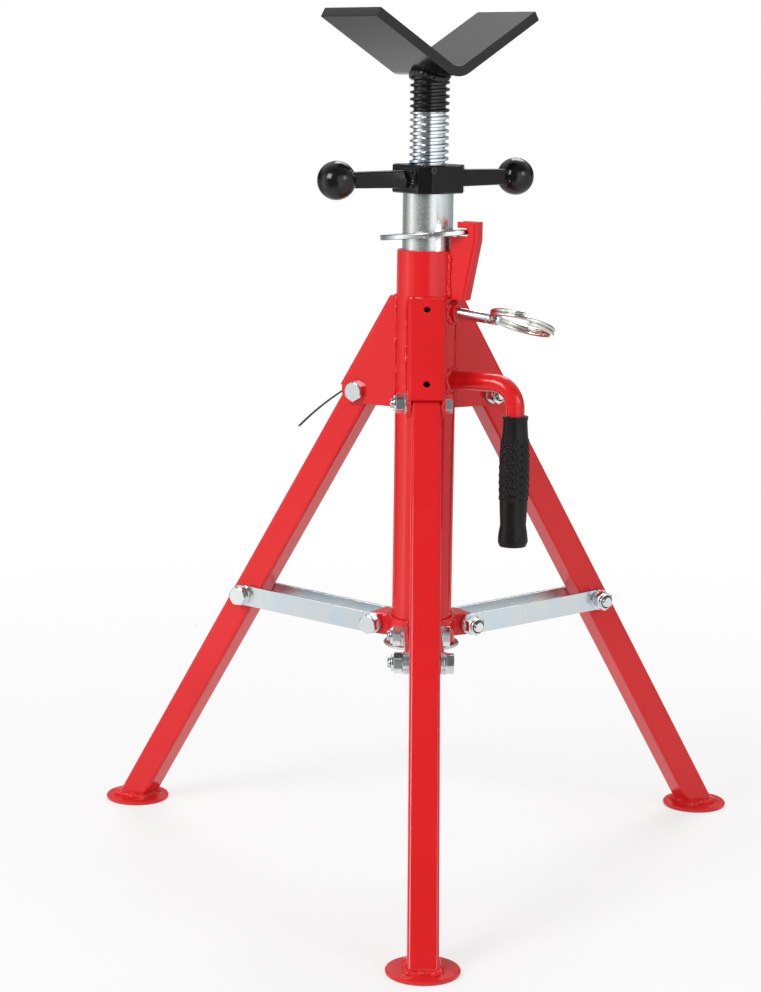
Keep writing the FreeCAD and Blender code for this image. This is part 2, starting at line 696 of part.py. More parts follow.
def make_friction_plate():
    """An oval plate round the inner tube. Tilted it grips the tube, level it lets go."""
    long_half = friction_bore + (friction_tail + friction_nose) / 2
    centre = V((friction_tail - friction_nose) / 2, 0, -friction_thickness / 2)
    oval = Part.Ellipse(centre, long_half, friction_bore + friction_side).toShape()
    plate = Part.Face(Part.Wire(oval)).extrude(V(0, 0, friction_thickness))
    rims = [edge for edge in plate.Edges if isinstance(edge.Curve, Part.Ellipse)]
    plate = plate.makeChamfer(friction_chamfer, rims)
    plate = plate.cut(post_cylinder(friction_bore, -friction_thickness, friction_thickness))
    plate.rotate(ORIGIN, AXIS_Y, -friction_angle)
    plate.translate(V(0, 0, friction_height))
    save("friction_plate", spoke(plate, LATCH_AZIMUTH))


def make_inner_tube():
    """The galvanised tube: a row of pin holes down one side and a cross hole near its top."""
    tube = post_cylinder(tube_radius, tube_bottom, tube_top)
    tube = tube.cut(post_cylinder(tube_bore, tube_bottom - overrun, tube_top + overrun))
    first = pin_point_at(tube_radius - tube_wall / 2).z
    for k in range(pin_hole_count):
        tube = tube.cut(spoke(side_hole(first - k * pin_hole_pitch, pin_radius + pin_hole_play,
                                        tube_wall), LATCH_AZIMUTH))
    tube = tube.cut(spoke(side_hole(tube_top - top_hole_drop, top_hole_radius, tube_wall),
                          TOP_HOLE_AZIMUTH))
    tube = tube.cut(spoke(side_hole(tube_top - spot_drop, spot_radius, spot_depth), spot_azimuth))
    save("inner_tube", tube)


def side_hole(height, radius, depth):
    """A level drill that enters the inner tube's skin to a depth, or runs through its wall."""
    through = overrun if depth >= tube_wall else 0
    return rod(V(tube_radius - depth - through, 0, height), V(tube_radius + overrun, 0, height), radius)


def make_handle_nut():
    """A cast nut, square with flattened corners, with two tapered arms that end in balls."""
    half = nut_flats / 2
    near = half - nut_corner_flat / math.sqrt(2)
    corners = [V(sx * x, sy * y, nut_bottom) for sx, sy, x, y in (
        (1, -1, half, near), (1, 1, half, near), (1, 1, near, half), (-1, 1, near, half),
        (-1, 1, half, near), (-1, -1, half, near), (-1, -1, near, half), (1, -1, near, half))]
    hub = Part.Face(Part.makePolygon(corners + corners[:1])).extrude(V(0, 0, nut_tall))
    rims = [edge for edge in hub.Edges if abs(edge.Vertexes[0].Z - edge.Vertexes[1].Z) < nut_edge]
    hub = hub.makeChamfer(nut_edge, rims)
    arm_z = nut_bottom + nut_tall / 2
    arm = Part.makeLoft([arm_section(screw_radius + arm_round, arm_width, arm_height, arm_z),
                         arm_section(ball_reach - ball_bury, arm_end_width, arm_end_height, arm_z)],
                        True, True)
    ball = Part.makeSphere(ball_radius, V(ball_reach, 0, arm_z)).cut(arm)
    other_arm = arm.copy()
    other_arm.rotate(ORIGIN, AXIS_Z, HALF)
    bore = post_cylinder(screw_radius + running_gap, nut_bottom - overrun, nut_top + overrun)
    save("handle_nut", spoke(hub.fuse([arm, other_arm]).cut(bore), arm_azimuth))
    save("ball_knob_right", spoke(ball, arm_azimuth))
    save("ball_knob_left", spoke(ball, arm_azimuth + HALF))


def arm_section(x, width, height, middle):
    """A rectangle with rounded corners, square to the arm."""
    w, h = width / 2 - arm_round, height / 2 - arm_round
    bulge = arm_round / math.sqrt(2)
    corners = []
    for sy, sz in ((1, 1), (-1, 1), (-1, -1), (1, -1)):
        centre = V(x, sy * w, middle + sz * h)
        first, second = V(0, sy * arm_round, 0), V(0, 0, sz * arm_round)
        if sy * sz < 0:
            first, second = second, first
        corners.append((centre + first, centre + V(0, sy * bulge, sz * bulge), centre + second))
    edges = []
    for number, corner in enumerate(corners):
        edges.append(arc(*corner))
        edges.append(line(corner[-1], corners[(number + 1) % len(corners)][0]))
    return Part.Wire(edges)


def make_v_head():
    """A thick plate bent to a V on top of the screw, with the weld between the two."""
    slope = math.radians(head_angle)
    outer_bend = head_inner_bend + head_thickness
    centre = V(0, 0, head_bottom + outer_bend)
    wing = V(math.cos(slope), 0, math.sin(slope)) * head_wing
    normal = V(math.sin(slope), 0, -math.cos(slope))
    under = centre + normal * outer_bend
    under_tip = under + wing
    inner = centre + normal * head_inner_bend
    inner_tip = inner + wing
    half = head_length / 2
    under_bend = arc(mirrored(under), centre - AXIS_Z * outer_bend, under)
    plate = slab([under_bend, line(under, under_tip), line(under_tip, inner_tip), line(inner_tip, inner),
                  arc(inner, centre - AXIS_Z * head_inner_bend, mirrored(inner)),
                  line(mirrored(inner), mirrored(inner_tip)),
                  line(mirrored(inner_tip), mirrored(under_tip)),
                  line(mirrored(under_tip), mirrored(under))], -half, half)
    tips = [point + AXIS_Y * half for tip in (under_tip, inner_tip) for point in (tip, mirrored(tip))]
    plate = plate.makeFillet(head_edge, long_edges(plate, tips, AXIS_Y))
    above = slab([under_bend, line(under, under_tip), line(under_tip, mirrored(under_tip)),
                  line(mirrored(under_tip), mirrored(under))], -half, half)
    screw = post_cylinder(screw_radius, screw_bottom, under_tip.z).cut(above)
    screw = screw.cut(post_cylinder(stop_bolt_radius, screw_bottom - overrun,
                                    screw_bottom + stop_bolt_depth))
    lowered = above.copy()
    lowered.translate(V(0, 0, -head_weld_leg))
    bead = post_cylinder(screw_radius + head_weld_leg, screw_bottom, under_tip.z)
    bead = bead.cut(post_cylinder(screw_radius, screw_bottom - overrun, under_tip.z + overrun))
    bead = bead.common(lowered).cut(above)
    for name, shape in (("v_head", plate), ("jack_screw", screw), ("head_weld", bead)):
        turned = shape.copy()
        turned.rotate(ORIGIN, AXIS_Z, head_azimuth)
        save(name, turned)


def mirrored(point):
    """The same point on the other side of the V head's middle plane."""
    return V(-point.x, point.y, point.z)


def make_screw_stop():
    """A loose washer and its bolt under the screw, which stop it in the nut."""
    top = screw_bottom - seat_gap
    low = top - stop_washer_thickness
    ring = post_cylinder(tube_bore - stop_washer_gap, low, top)
    save("stop_washer", ring.cut(post_cylinder(stop_bolt_radius + stop_washer_play,
                                               low - overrun, top + overrun)))
    head_top = low - seat_gap
    head = hexagon(stop_bolt_flats, stop_bolt_head, V(0, 0, head_top), -AXIS_Z)
    save("stop_bolt", head.fuse(post_cylinder(stop_bolt_radius, head_top, screw_bottom + stop_bolt_depth)))


def make_cable_tie():
    """A cut cable tie round the left leg's nut, with its stiff tail pointing out and down."""
    side_high = -bracket_outer - washer_thickness - tie_loop_gap
    side_low = side_high - tie_width
    inner = bolt_head_flats / math.sqrt(3) + tie_loop_gap
    inside = cross_rod(leg_pivot, inner, side_low - overrun, side_high + overrun)
    loop = cross_rod(leg_pivot, inner + tie_thickness, side_low, side_high).cut(inside)
    angle = math.radians(tie_head_angle)
    outward = V(math.cos(angle), 0, math.sin(angle))
    along = V(math.sin(angle), 0, -math.cos(angle))
    base = leg_pivot + outward * (inner + tie_thickness / 2)
    near, far = base - along * (tie_head_length / 2), base + along * (tie_head_length / 2)
    height = outward * tie_head_height
    head = slab(polygon([near, far, far + height, near + height]),
                side_low - tie_thickness / 2, side_high).cut(inside)
    start = base + along * (tie_head_length / 4) + height / 2
    end = start + V(tie_tail_out, 0, -tie_tail_drop)
    upward = V(tie_tail_drop, 0, tie_tail_out).normalize()
    bow = (start + end) / 2 + upward * tie_tail_bow
    lift = upward * tie_thickness
    tail = slab([arc(start, bow, end), line(end, end + lift),
                 arc(end + lift, bow + lift, start + lift), line(start + lift, start)],
                side_low, side_high)
    save("cable_tie", spoke(loop.fuse(head).fuse(tail), LEG_AZIMUTHS["left"]))


def main():
    """Makes every piece, from the post outward and up."""
    os.makedirs("parts", exist_ok=True)
    make_post()
    make_stop_plate()
    make_leg_brackets()
    make_latch_bracket()
    make_pin_boss()
    make_ring_pin()
    make_handle()
    make_grip()
    make_leg_pivot_fasteners()
    make_legs()
    make_collar()
    make_collar_fasteners()
    make_braces()
    make_friction_plate()
    make_inner_tube()
    make_handle_nut()
    make_v_head()
    make_screw_stop()
    make_cable_tie()


main()
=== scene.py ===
"""A folding pipe stand in red paint and zinc, set on a pale studio floor.

The construction comes from the frame. This script gives each piece its finish, rounds the edges
of the steel work, and adds what is too fine for the construction: threads, weld beads, bolt
heads, lock nuts, the knurled grip and the split ring. Lengths are metres, +Z is up, and an
azimuth is counted from the front (-Y) towards +X.
"""
import json
import math

import bmesh
import bpy
import numpy as np
from mathutils import Matrix, Vector

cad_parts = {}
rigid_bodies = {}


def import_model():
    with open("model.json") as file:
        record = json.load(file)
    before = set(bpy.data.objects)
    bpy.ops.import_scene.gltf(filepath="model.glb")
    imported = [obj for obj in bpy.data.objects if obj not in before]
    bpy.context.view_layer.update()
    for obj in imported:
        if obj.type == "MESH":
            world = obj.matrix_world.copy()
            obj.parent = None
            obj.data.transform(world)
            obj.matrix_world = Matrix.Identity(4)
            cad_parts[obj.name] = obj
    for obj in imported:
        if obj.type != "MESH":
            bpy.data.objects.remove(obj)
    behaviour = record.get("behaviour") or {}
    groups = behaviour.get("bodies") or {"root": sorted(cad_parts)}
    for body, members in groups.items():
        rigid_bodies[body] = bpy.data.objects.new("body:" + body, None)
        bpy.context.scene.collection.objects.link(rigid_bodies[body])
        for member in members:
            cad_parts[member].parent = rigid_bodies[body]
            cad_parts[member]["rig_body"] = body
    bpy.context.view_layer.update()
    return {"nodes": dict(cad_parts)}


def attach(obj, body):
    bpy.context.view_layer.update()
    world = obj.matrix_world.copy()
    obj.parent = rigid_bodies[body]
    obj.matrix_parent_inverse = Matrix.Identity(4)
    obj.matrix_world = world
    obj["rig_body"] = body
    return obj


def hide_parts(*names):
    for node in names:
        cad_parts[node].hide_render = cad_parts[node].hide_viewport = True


MM = 0.001
OUT = np.array([1.0, 0.0, 0.0])
UP = np.array([0.0, 0.0, 1.0])
MERGE_DISTANCE = 2e-6
LEG_AZIMUTHS = {"front": 0.0, "right": 120.0, "left": 240.0}
LATCH_AZIMUTH = 60.0

# sizes that the added pieces share with the construction, in metres
POST_RADIUS = 28.5 * MM
POST_TOP = 583.98 * MM
LEG_LEAN = math.radians(31.2)
LEG_PIVOT = np.array([65.5, 0.0, 447.48]) * MM
BRACE_PIVOT = np.array([194.70, 0.0, 234.15]) * MM
LUG_PIVOT = np.array([45.5, 0.0, 224.18]) * MM
LEG_HALF = 13.5 * MM
LEG_FOOT = np.array([333.84, 0.0, 5.2]) * MM
BRACKET_FACE = 17.7 * MM
BRACKET_FOOT = 435.8 * MM
BRACKET_TOP = 540.4 * MM
LATCH_HALF = 7.0 * MM
WASHER = 2.0 * MM
WASHER_RADIUS = 10.0 * MM
LUG_WASHER_FACE = 19.7 * MM
BAR_WASHER_FACE = 19.4 * MM
HEAD_FLATS = 17.0 * MM
HEAD_HEIGHT = 6.6 * MM
NUT_HEIGHT = 8.0 * MM
NUT_COLLAR_HEIGHT = 2.4 * MM
NUT_COLLAR_RADIUS = 7.4 * MM
BOLT_RADIUS = 5.0 * MM
BOLT_CORE = BOLT_RADIUS * 0.97
BOLT_TAIL = NUT_HEIGHT + NUT_COLLAR_HEIGHT + 3.0 * MM
BOLT_PITCH = 1.5 * MM
BOLT_DEPTH = 0.9 * MM
COLLAR_RADIUS = 32.0 * MM
SCREW_RADIUS = 18.5 * MM
SCREW_PITCH = 6.35 * MM
SCREW_DEPTH = 3.3 * MM
SCREW_BOTTOM = 420.58 * MM
PAINT_EDGE = 711.5 * MM
HEAD_BOTTOM = 743.78 * MM
HEAD_AZIMUTH = 38.0
HEAD_SLOPE = math.radians(30.5)
HEAD_OUTER_BEND = 26.0 * MM
GRIP_CENTRE = 95.9 * MM
GRIP_TOP = 434.48 * MM
GRIP_BOTTOM = 312.18 * MM
ARM_HEIGHT = 649.83 * MM
NUT_TOP = 662.98 * MM
NUT_HALF = 28.0 * MM
ARM_AZIMUTH = 129.0
BALL_REACH = 108.3 * MM
BALL_RADIUS = 17.8 * MM
EYE = np.array([73.35, 0.0, 522.936]) * MM
RING_RADIUS = 29.5 * MM
RING_TURNS = (("Z", -8.0), ("X", -20.4), ("Y", 5.5))
RING_WIRE = 1.85 * MM
RING_PITCH = 3.74 * MM
RING_START = math.radians(-50.0)

# the photograph's view, on a sensor 36 mm wide
CAMERA_PLACE = (-0.0408, -2.342, 0.7546)
CAMERA_PITCH = math.radians(9.813)
CAMERA_ROLL = math.radians(0.751)
CAMERA_LENS = 90.76

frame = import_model()
SLOTS = {name: node.material_slots[0].material.name for name, node in frame["nodes"].items()}


# shapes


def grid_faces(rows, columns, closed=True):
    """Quads between neighbouring rows and columns of a grid. A closed grid joins its last column
    to its first one."""
    row = np.arange(rows - 1)[:, None]
    column = np.arange(columns if closed else columns - 1)[None, :]
    after = (column + 1) % columns
    corners = [row * columns + column, row * columns + after,
               (row + 1) * columns + after, (row + 1) * columns + column]
    return np.stack(corners, axis=-1).reshape(-1, 4)


def turned(points, azimuth):
    """Points drawn with +X pointing outward, turned about Z to an azimuth:
    x' = x cos a - y sin a and y' = x sin a + y cos a, with a a quarter turn less."""
    a = math.radians(azimuth - 90.0)
    x, y, z = points[..., 0], points[..., 1], points[..., 2]
    return np.stack([x * math.cos(a) - y * math.sin(a), x * math.sin(a) + y * math.cos(a), z], -1)


def all_turned(grids, azimuth):
    """Grids turned to an azimuth, each still marked (grid, False) if it was."""
    return [(turned(grid[0], azimuth), False) if isinstance(grid, tuple)
            else turned(grid, azimuth) for grid in grids]


def lathe(radii, heights, sides):
    """A surface of revolution: at each row, a circle of that radius at that height."""
    angle = np.linspace(0, 2 * np.pi, sides, endpoint=False)
    radii = np.reshape(radii, (len(heights), -1))
    x, y = radii * np.cos(angle), radii * np.sin(angle)
    return np.stack([x, y, np.broadcast_to(np.reshape(heights, (-1, 1)), x.shape)], -1)


def along_y(points, centre, at=0.0, direction=1.0):
    """A shape drawn round Z, laid along +Y or -Y, from a distance beside a centre: its height
    becomes the distance along Y, and its own X stays X."""
    x, y, z = points[..., 0], points[..., 1], points[..., 2]
    laid = np.stack([x, z * direction, -y * direction], -1)
    return laid + (centre + np.array([0.0, at, 0.0]))


def sweep(path, outward, radii, sides):
    """A round section carried along a path. The outward direction is one for each point of the
    path or one for all, and the section lies in the plane of that direction and its cross
    product with the tangent: point + radius * (cos t * outward + sin t * side)."""
    tangent = np.gradient(path, axis=0)
    tangent /= np.linalg.norm(tangent, axis=1, keepdims=True)
    side = np.cross(tangent, outward)
    side /= np.linalg.norm(side, axis=1, keepdims=True)
    up = np.cross(side, tangent)
    t = np.linspace(0, 2 * np.pi, sides, endpoint=False)[None, :, None]
    ring = np.cos(t) * up[:, None, :] + np.sin(t) * side[:, None, :]
    return path[:, None, :] + np.asarray(radii)[:, None, None] * ring


def capped(points):
    """Closes both ends of a grid with a row drawn together at the end row's middle."""
    first, last = (np.broadcast_to(row.mean(0), row.shape)[None] for row in points[[0, -1]])
    return np.concatenate([first, points, last])


def add_object(name, data):
    """A new object in the scene for a mesh, a light or a camera."""
    item = bpy.data.objects.new(name, data)
    bpy.context.scene.collection.objects.link(item)
    return item


def smooth_object(mesh, form, material, angle):
    """An object of the form's faces, smooth but for the edges sharper than an angle."""
    form.to_mesh(mesh)
    form.free()
    mesh.shade_smooth()
    mesh.set_sharp_from_angle(angle=math.radians(angle))
    mesh.materials.append(material)
    return add_object(mesh.name, mesh)


def settle(item, body, slot, *nodes):
    """The piece rides on a body and stands for the nodes that it replaces, which are hidden. The
    slot is not used.
    """
    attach(item, body)
    if nodes:
        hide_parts(*nodes)
    return item


def add_piece(name, grids, material, body, slot, *nodes, smooth=60.0):
    """One piece from grids, with doubles merged and faces turned outwards. A grid that isn't
    closed is given as (grid, False)."""
    points, faces, count = [], [], 0
    for grid in grids:
        grid, closed = grid if isinstance(grid, tuple) else (grid, True)
        rows, columns = grid.shape[:2]
        points.append(grid.reshape(-1, 3))
        faces.append(grid_faces(rows, columns, closed) + count)
        count += rows * columns
    mesh = bpy.data.meshes.new(name)
    mesh.from_pydata(np.concatenate(points).tolist(), [], np.concatenate(faces).tolist())
    form = bmesh.new()
    form.from_mesh(mesh)
    bmesh.ops.remove_doubles(form, verts=form.verts, dist=MERGE_DISTANCE)
    bmesh.ops.recalc_face_normals(form, faces=form.faces)
    return settle(smooth_object(mesh, form, material, smooth), body, slot, *nodes)


def worked(node, material, edge, angle=32.0):
    """The node's own surface with its loose triangles joined, its flat faces made whole, and its
    sharp edges rounded to the given radius."""
    source = frame["nodes"][node]
    form = bmesh.new()
    form.from_mesh(source.data)
    bmesh.ops.remove_doubles(form, verts=form.verts, dist=MERGE_DISTANCE)
    bmesh.ops.dissolve_limit(form, angle_limit=math.radians(0.3),
                             verts=form.verts, edges=form.edges)
    item = smooth_object(bpy.data.meshes.new(node + "_worked"), form, material, angle)
    rounding = item.modifiers.new("rounded_edges", "BEVEL")
    rounding.width = edge
    rounding.segments = 2
    rounding.limit_method = "ANGLE"
    rounding.angle_limit = math.radians(angle)
    rounding.harden_normals = True
    return settle(item, source["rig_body"], SLOTS[node], node)


# node helpers


def feed(tree, socket, value):
    """Links a socket to another one, or sets its plain value: a number, or a colour of three."""
    if isinstance(value, bpy.types.NodeSocket):
        tree.links.new(value, socket)
    else:
        socket.default_value = (*value, 1.0) if isinstance(value, tuple) else value


def calculated(tree, operation, *values, clamp=False):
    """A Math node's result."""
    node = tree.nodes.new("ShaderNodeMath")
    node.operation = operation
    node.use_clamp = clamp
    for socket, value in zip(node.inputs, values):
        feed(tree, socket, value)
    return node.outputs[0]


def product(tree, first, second, clamp=False):
    """Two numbers multiplied."""
    return calculated(tree, "MULTIPLY", first, second, clamp=clamp)


def blended(tree, share, first, second):
    """The colour between two colours."""
    node = tree.nodes.new("ShaderNodeMix")
    node.data_type = "RGBA"
    for index, value in ((0, share), (6, first), (7, second)):
        feed(tree, node.inputs[index], value)
    return node.outputs[2]


def between(tree, share, first, second):
    """The number between two numbers."""
    node = tree.nodes.new("ShaderNodeMix")
    for index, value in ((0, share), (2, first), (3, second)):
        feed(tree, node.inputs[index], value)
    return node.outputs[0]


def ranged(tree, value, low, high, to_low=0.0, to_high=1.0):
    """A number carried from one range to another, held at the ends."""
    node = tree.nodes.new("ShaderNodeMapRange")
    for socket, number in zip(node.inputs, (value, low, high, to_low, to_high)):
        feed(tree, socket, number)
    return node.outputs[0]


def place(tree, scale=(1.0, 1.0, 1.0)):
    """The surface point on the piece, stretched along each axis."""
    where = tree.nodes.new("ShaderNodeTexCoord")
    stretch = tree.nodes.new("ShaderNodeMapping")
    stretch.inputs["Scale"].default_value = scale
    tree.links.new(where.outputs["Object"], stretch.inputs["Vector"])
    return stretch.outputs[0]


def normal(tree):
    """The surface's normal."""
    return tree.nodes.new("ShaderNodeNewGeometry").outputs["Normal"]


def components(tree, vector):
    """The X, Y and Z of a vector."""
    node = tree.nodes.new("ShaderNodeSeparateXYZ")
    tree.links.new(vector, node.inputs[0])
    return node.outputs


def azimuth_of(tree, point):
    """The azimuth atan2(x, -y) of a point's components."""
    return calculated(tree, "ARCTAN2", point["X"], product(tree, point["Y"], -1.0))


def cloud(tree, where, scale, detail=3.0, rough=0.5):
    """A soft noise from 0 to 1."""
    node = tree.nodes.new("ShaderNodeTexNoise")
    tree.links.new(where, node.inputs["Vector"])
    feed(tree, node.inputs["Scale"], scale)
    node.inputs["Detail"].default_value = detail
    node.inputs["Roughness"].default_value = rough
    return node.outputs["Fac"]


def cells(tree, where, scale, feature="F1"):
    """A pattern of cells, each with its own colour and the distance to its point."""
    node = tree.nodes.new("ShaderNodeTexVoronoi")
    node.feature = feature
    tree.links.new(where, node.inputs["Vector"])
    feed(tree, node.inputs["Scale"], scale)
    return node.outputs


def effect(name, inputs, outputs):
    """An empty shader node group with named sockets, as (tree, inputs, outputs)."""
    tree = bpy.data.node_groups.new(name, "ShaderNodeTree")
    kinds = {float: "NodeSocketFloat", tuple: "NodeSocketColor"}
    for label, value in inputs.items():
        feed(tree, tree.interface.new_socket(label, in_out="INPUT",
                                             socket_type=kinds[type(value)]), value)
    for label, kind in outputs.items():
        tree.interface.new_socket(label, in_out="OUTPUT", socket_type=kinds[kind])
    return tree, tree.nodes.new("NodeGroupInput").outputs, tree.nodes.new("NodeGroupOutput").inputs


def used(tree, group, **values):
    """The group placed in a material with its own values."""
    node = tree.nodes.new("ShaderNodeGroup")
    node.node_tree = group
    for label, value in values.items():
        feed(tree, node.inputs[label.replace("_", " ")], value)
    return node.outputs


def new_material(name):
    """A material with a plain shader, as (material, tree, shader)."""
    material = bpy.data.materials.new(name)
    material.use_nodes = True
    return material, material.node_tree, material.node_tree.nodes["Principled BSDF"]


def add_relief(tree, shader, height, strength, depth):
    """Tilts the shader's normal by a height."""
    bump = tree.nodes.new("ShaderNodeBump")
    bump.inputs["Strength"].default_value = strength
    bump.inputs["Distance"].default_value = depth
    tree.links.new(height, bump.inputs["Height"])
    tree.links.new(bump.outputs[0], shader.inputs["Normal"])


# shared effects


DUST_TONE = (0.62, 0.6, 0.57)
CRYSTAL_SHADE = (0.16, 0.17, 0.19)
# painted shade for the screw thread's flanks, dark and bluish
FLANK_SHADE_TONE = (0.07, 0.085, 0.105)
# painted shade, near black, for the post behind the brackets' holes
HOLE_SHADE_TONE = (0.004, 0.003, 0.003)
SKIN = {"Colour": tuple, "Roughness": float, "Height": float}


def make_edge_wear_and_highlight():
    """Where edges are, for a lighter edge colour that is partly wear and partly a painted
    highlight: one less the cosine between the true normal and one averaged round the point, broken
    up by a noise."""
    tree, given, out = effect("edge_wear_and_highlight", {"Reach": 0.001, "Breakup": 120.0, "Amount": 1.0},
                              {"Mask": float})
    soft = tree.nodes.new("ShaderNodeBevel")
    soft.samples = 4
    tree.links.new(given["Reach"], soft.inputs["Radius"])
    same = tree.nodes.new("ShaderNodeVectorMath")
    same.operation = "DOT_PRODUCT"
    tree.links.new(soft.outputs[0], same.inputs[0])
    tree.links.new(normal(tree), same.inputs[1])
    turned_away = ranged(tree, same.outputs["Value"], 0.995, 0.86)
    patches = ranged(tree, cloud(tree, place(tree), given["Breakup"], 4.0), 0.42, 0.62)
    wear_and_highlight = product(tree, turned_away, patches)
    feed(tree, out["Mask"], product(tree, wear_and_highlight, given["Amount"], clamp=True))
    return tree


def make_surface_dust():
    """Dust lies where the surface faces up, in a fine uneven layer."""
    tree, given, out = effect("surface_dust", {"Amount": 0.2}, {"Mask": float})
    upward = ranged(tree, components(tree, normal(tree))["Z"], 0.25, 1.0)
    specks = ranged(tree, cloud(tree, place(tree), 700.0, 5.0, 0.7), 0.45, 0.75)
    layer = product(tree, upward, specks)
    feed(tree, out["Mask"], product(tree, layer, given["Amount"]))
    return tree


def make_paint_film():
    """Sprayed paint: a cloudy tone, a rippled skin and a few grains caught under it."""
    tree, given, out = effect(
        "paint_film", {"Tone": (0.5, 0.5, 0.5), "Deep tone": (0.3, 0.3, 0.3),
                       "Gloss": 0.2, "Ripple": 380.0}, SKIN)
    where = place(tree)
    drift = ranged(tree, cloud(tree, where, 11.0, 2.0), 0.3, 0.7)
    feed(tree, out["Colour"], blended(tree, drift, given["Tone"], given["Deep tone"]))
    smear = ranged(tree, cloud(tree, where, 34.0, 4.0, 0.6), 0.3, 0.75, -0.03, 0.09)
    feed(tree, out["Roughness"], calculated(tree, "ADD", given["Gloss"], smear, clamp=True))
    nib = ranged(tree, cells(tree, where, 62.0)["Distance"], 0.0, 0.035, 1.0, 0.0)
    skin = product(tree, cloud(tree, where, given["Ripple"], 1.0), 0.5)
    feed(tree, out["Height"], calculated(tree, "ADD", skin, nib))
    return tree


def make_zinc_coat():
    """Zinc: crystals of slightly different tone, a tint that drifts between bluish and warm,
    and fine rubbed lines."""
    tree, given, out = effect(
        "zinc_coat", {"Tone": (0.7, 0.7, 0.7), "Warm tone": (0.7, 0.68, 0.6),
                      "Shine": 0.25, "Crystals": 300.0, "Contrast": 0.03}, SKIN)
    where = place(tree)
    tone = tree.nodes.new("ShaderNodeSeparateColor")
    tree.links.new(cells(tree, where, given["Crystals"])["Color"], tone.inputs[0])
    tint = ranged(tree, cloud(tree, where, 26.0, 3.0), 0.4, 0.68)
    base = blended(tree, tint, given["Tone"], given["Warm tone"])
    shade = product(tree, tone.outputs[0], given["Contrast"])
    feed(tree, out["Colour"], blended(tree, shade, base, CRYSTAL_SHADE))
    lines = ranged(tree, cloud(tree, place(tree, (1.0, 1.0, 0.06)), 900.0, 3.0), 0.3, 0.7)
    rubbed = calculated(tree, "MULTIPLY_ADD", lines, 0.03, given["Shine"])
    feed(tree, out["Roughness"],
         calculated(tree, "MULTIPLY_ADD", tone.outputs[1], given["Contrast"], rubbed))
    fine = cloud(tree, where, 520.0, 4.0, 0.6)
    feed(tree, out["Height"], calculated(tree, "MULTIPLY_ADD", tone.outputs[2], 0.22, fine))
    return tree


def make_moulded_skin():
    """Moulded rubber or plastic: a fine pebbled skin, duller where it has been handled."""
    tree, given, out = effect(
        "moulded_skin", {"Tone": (0.02, 0.02, 0.02), "Rubbed tone": (0.05, 0.05, 0.05),
                         "Pebbles": 900.0, "Gloss": 0.4}, SKIN)
    where = place(tree)
    handled = ranged(tree, cloud(tree, where, 30.0, 4.0, 0.6), 0.38, 0.7)
    feed(tree, out["Colour"], blended(tree, handled, given["Tone"], given["Rubbed tone"]))
    feed(tree, out["Roughness"], calculated(tree, "MULTIPLY_ADD", handled, 0.12, given["Gloss"]))
    feed(tree, out["Height"], cells(tree, where, given["Pebbles"], "SMOOTH_F1")["Distance"])
    return tree


EDGE_WEAR_AND_HIGHLIGHT = make_edge_wear_and_highlight()
SURFACE_DUST = make_surface_dust()
PAINT_FILM = make_paint_film()
ZINC_COAT = make_zinc_coat()
MOULDED_SKIN = make_moulded_skin()


# finishes


def finish(name, group, values, relief, depth=0.0003, metallic=0.0, ior=1.5, wear_and_highlight=None,
           dusty=0.0):
    """A material whose colour, roughness and relief come from a shared effect. Its edge colour, as
    (colour, amount), is partly bare wear and partly a painted highlight, and dusty is how much dust
    lies on it."""
    material, tree, shader = new_material(name)
    shader.inputs["IOR"].default_value = ior
    shader.inputs["Metallic"].default_value = metallic
    skin = used(tree, group, **values)
    colour = skin["Colour"]
    # the lighter edges are partly wear and partly a painted highlight
    if wear_and_highlight:
        mask = used(tree, EDGE_WEAR_AND_HIGHLIGHT, Amount=wear_and_highlight[1])["Mask"]
        colour = blended(tree, mask, colour, wear_and_highlight[0])
    if dusty:
        dust = used(tree, SURFACE_DUST, Amount=dusty)["Mask"]
        colour = blended(tree, dust, colour, DUST_TONE)
    feed(tree, shader.inputs["Base Color"], colour)
    feed(tree, shader.inputs["Roughness"], skin["Roughness"])
    add_relief(tree, shader, skin["Height"], relief, depth)
    return material


def screw_finish():
    """Zinc with painted shade, a dark bluish tone, on the thread's flanks, which are where the
    normal turns up or down, and black paint run down from the head over the first turns. The
    paint's edge is a height, made uneven by a noise."""
    material, tree, shader = new_material("screw_zinc_and_paint")
    zinc = used(tree, ZINC_COAT, **SCREW_ZINC)
    paint = used(tree, PAINT_FILM, **BLACK_ENAMEL)
    ragged = calculated(tree, "MULTIPLY_ADD", cloud(tree, place(tree), 160.0), 0.0016,
                        components(tree, place(tree))["Z"])
    painted = ranged(tree, ragged, PAINT_EDGE, PAINT_EDGE + 0.4 * MM)
    upright = calculated(tree, "ABSOLUTE", components(tree, normal(tree))["Z"])
    # painted shade: the flanks, where the normal turns up or down, are darkened
    flank_shade = ranged(tree, upright, 0.35, 0.8, 0.0, 0.5)
    bare = blended(tree, flank_shade, zinc["Colour"], FLANK_SHADE_TONE)
    feed(tree, shader.inputs["Base Color"], blended(tree, painted, bare, paint["Colour"]))
    feed(tree, shader.inputs["Roughness"],
         between(tree, painted, zinc["Roughness"], paint["Roughness"]))
    feed(tree, shader.inputs["Metallic"], between(tree, painted, 1.0, 0.0))
    add_relief(tree, shader, between(tree, painted, zinc["Height"], paint["Height"]), 0.1, 0.0002)
    return material


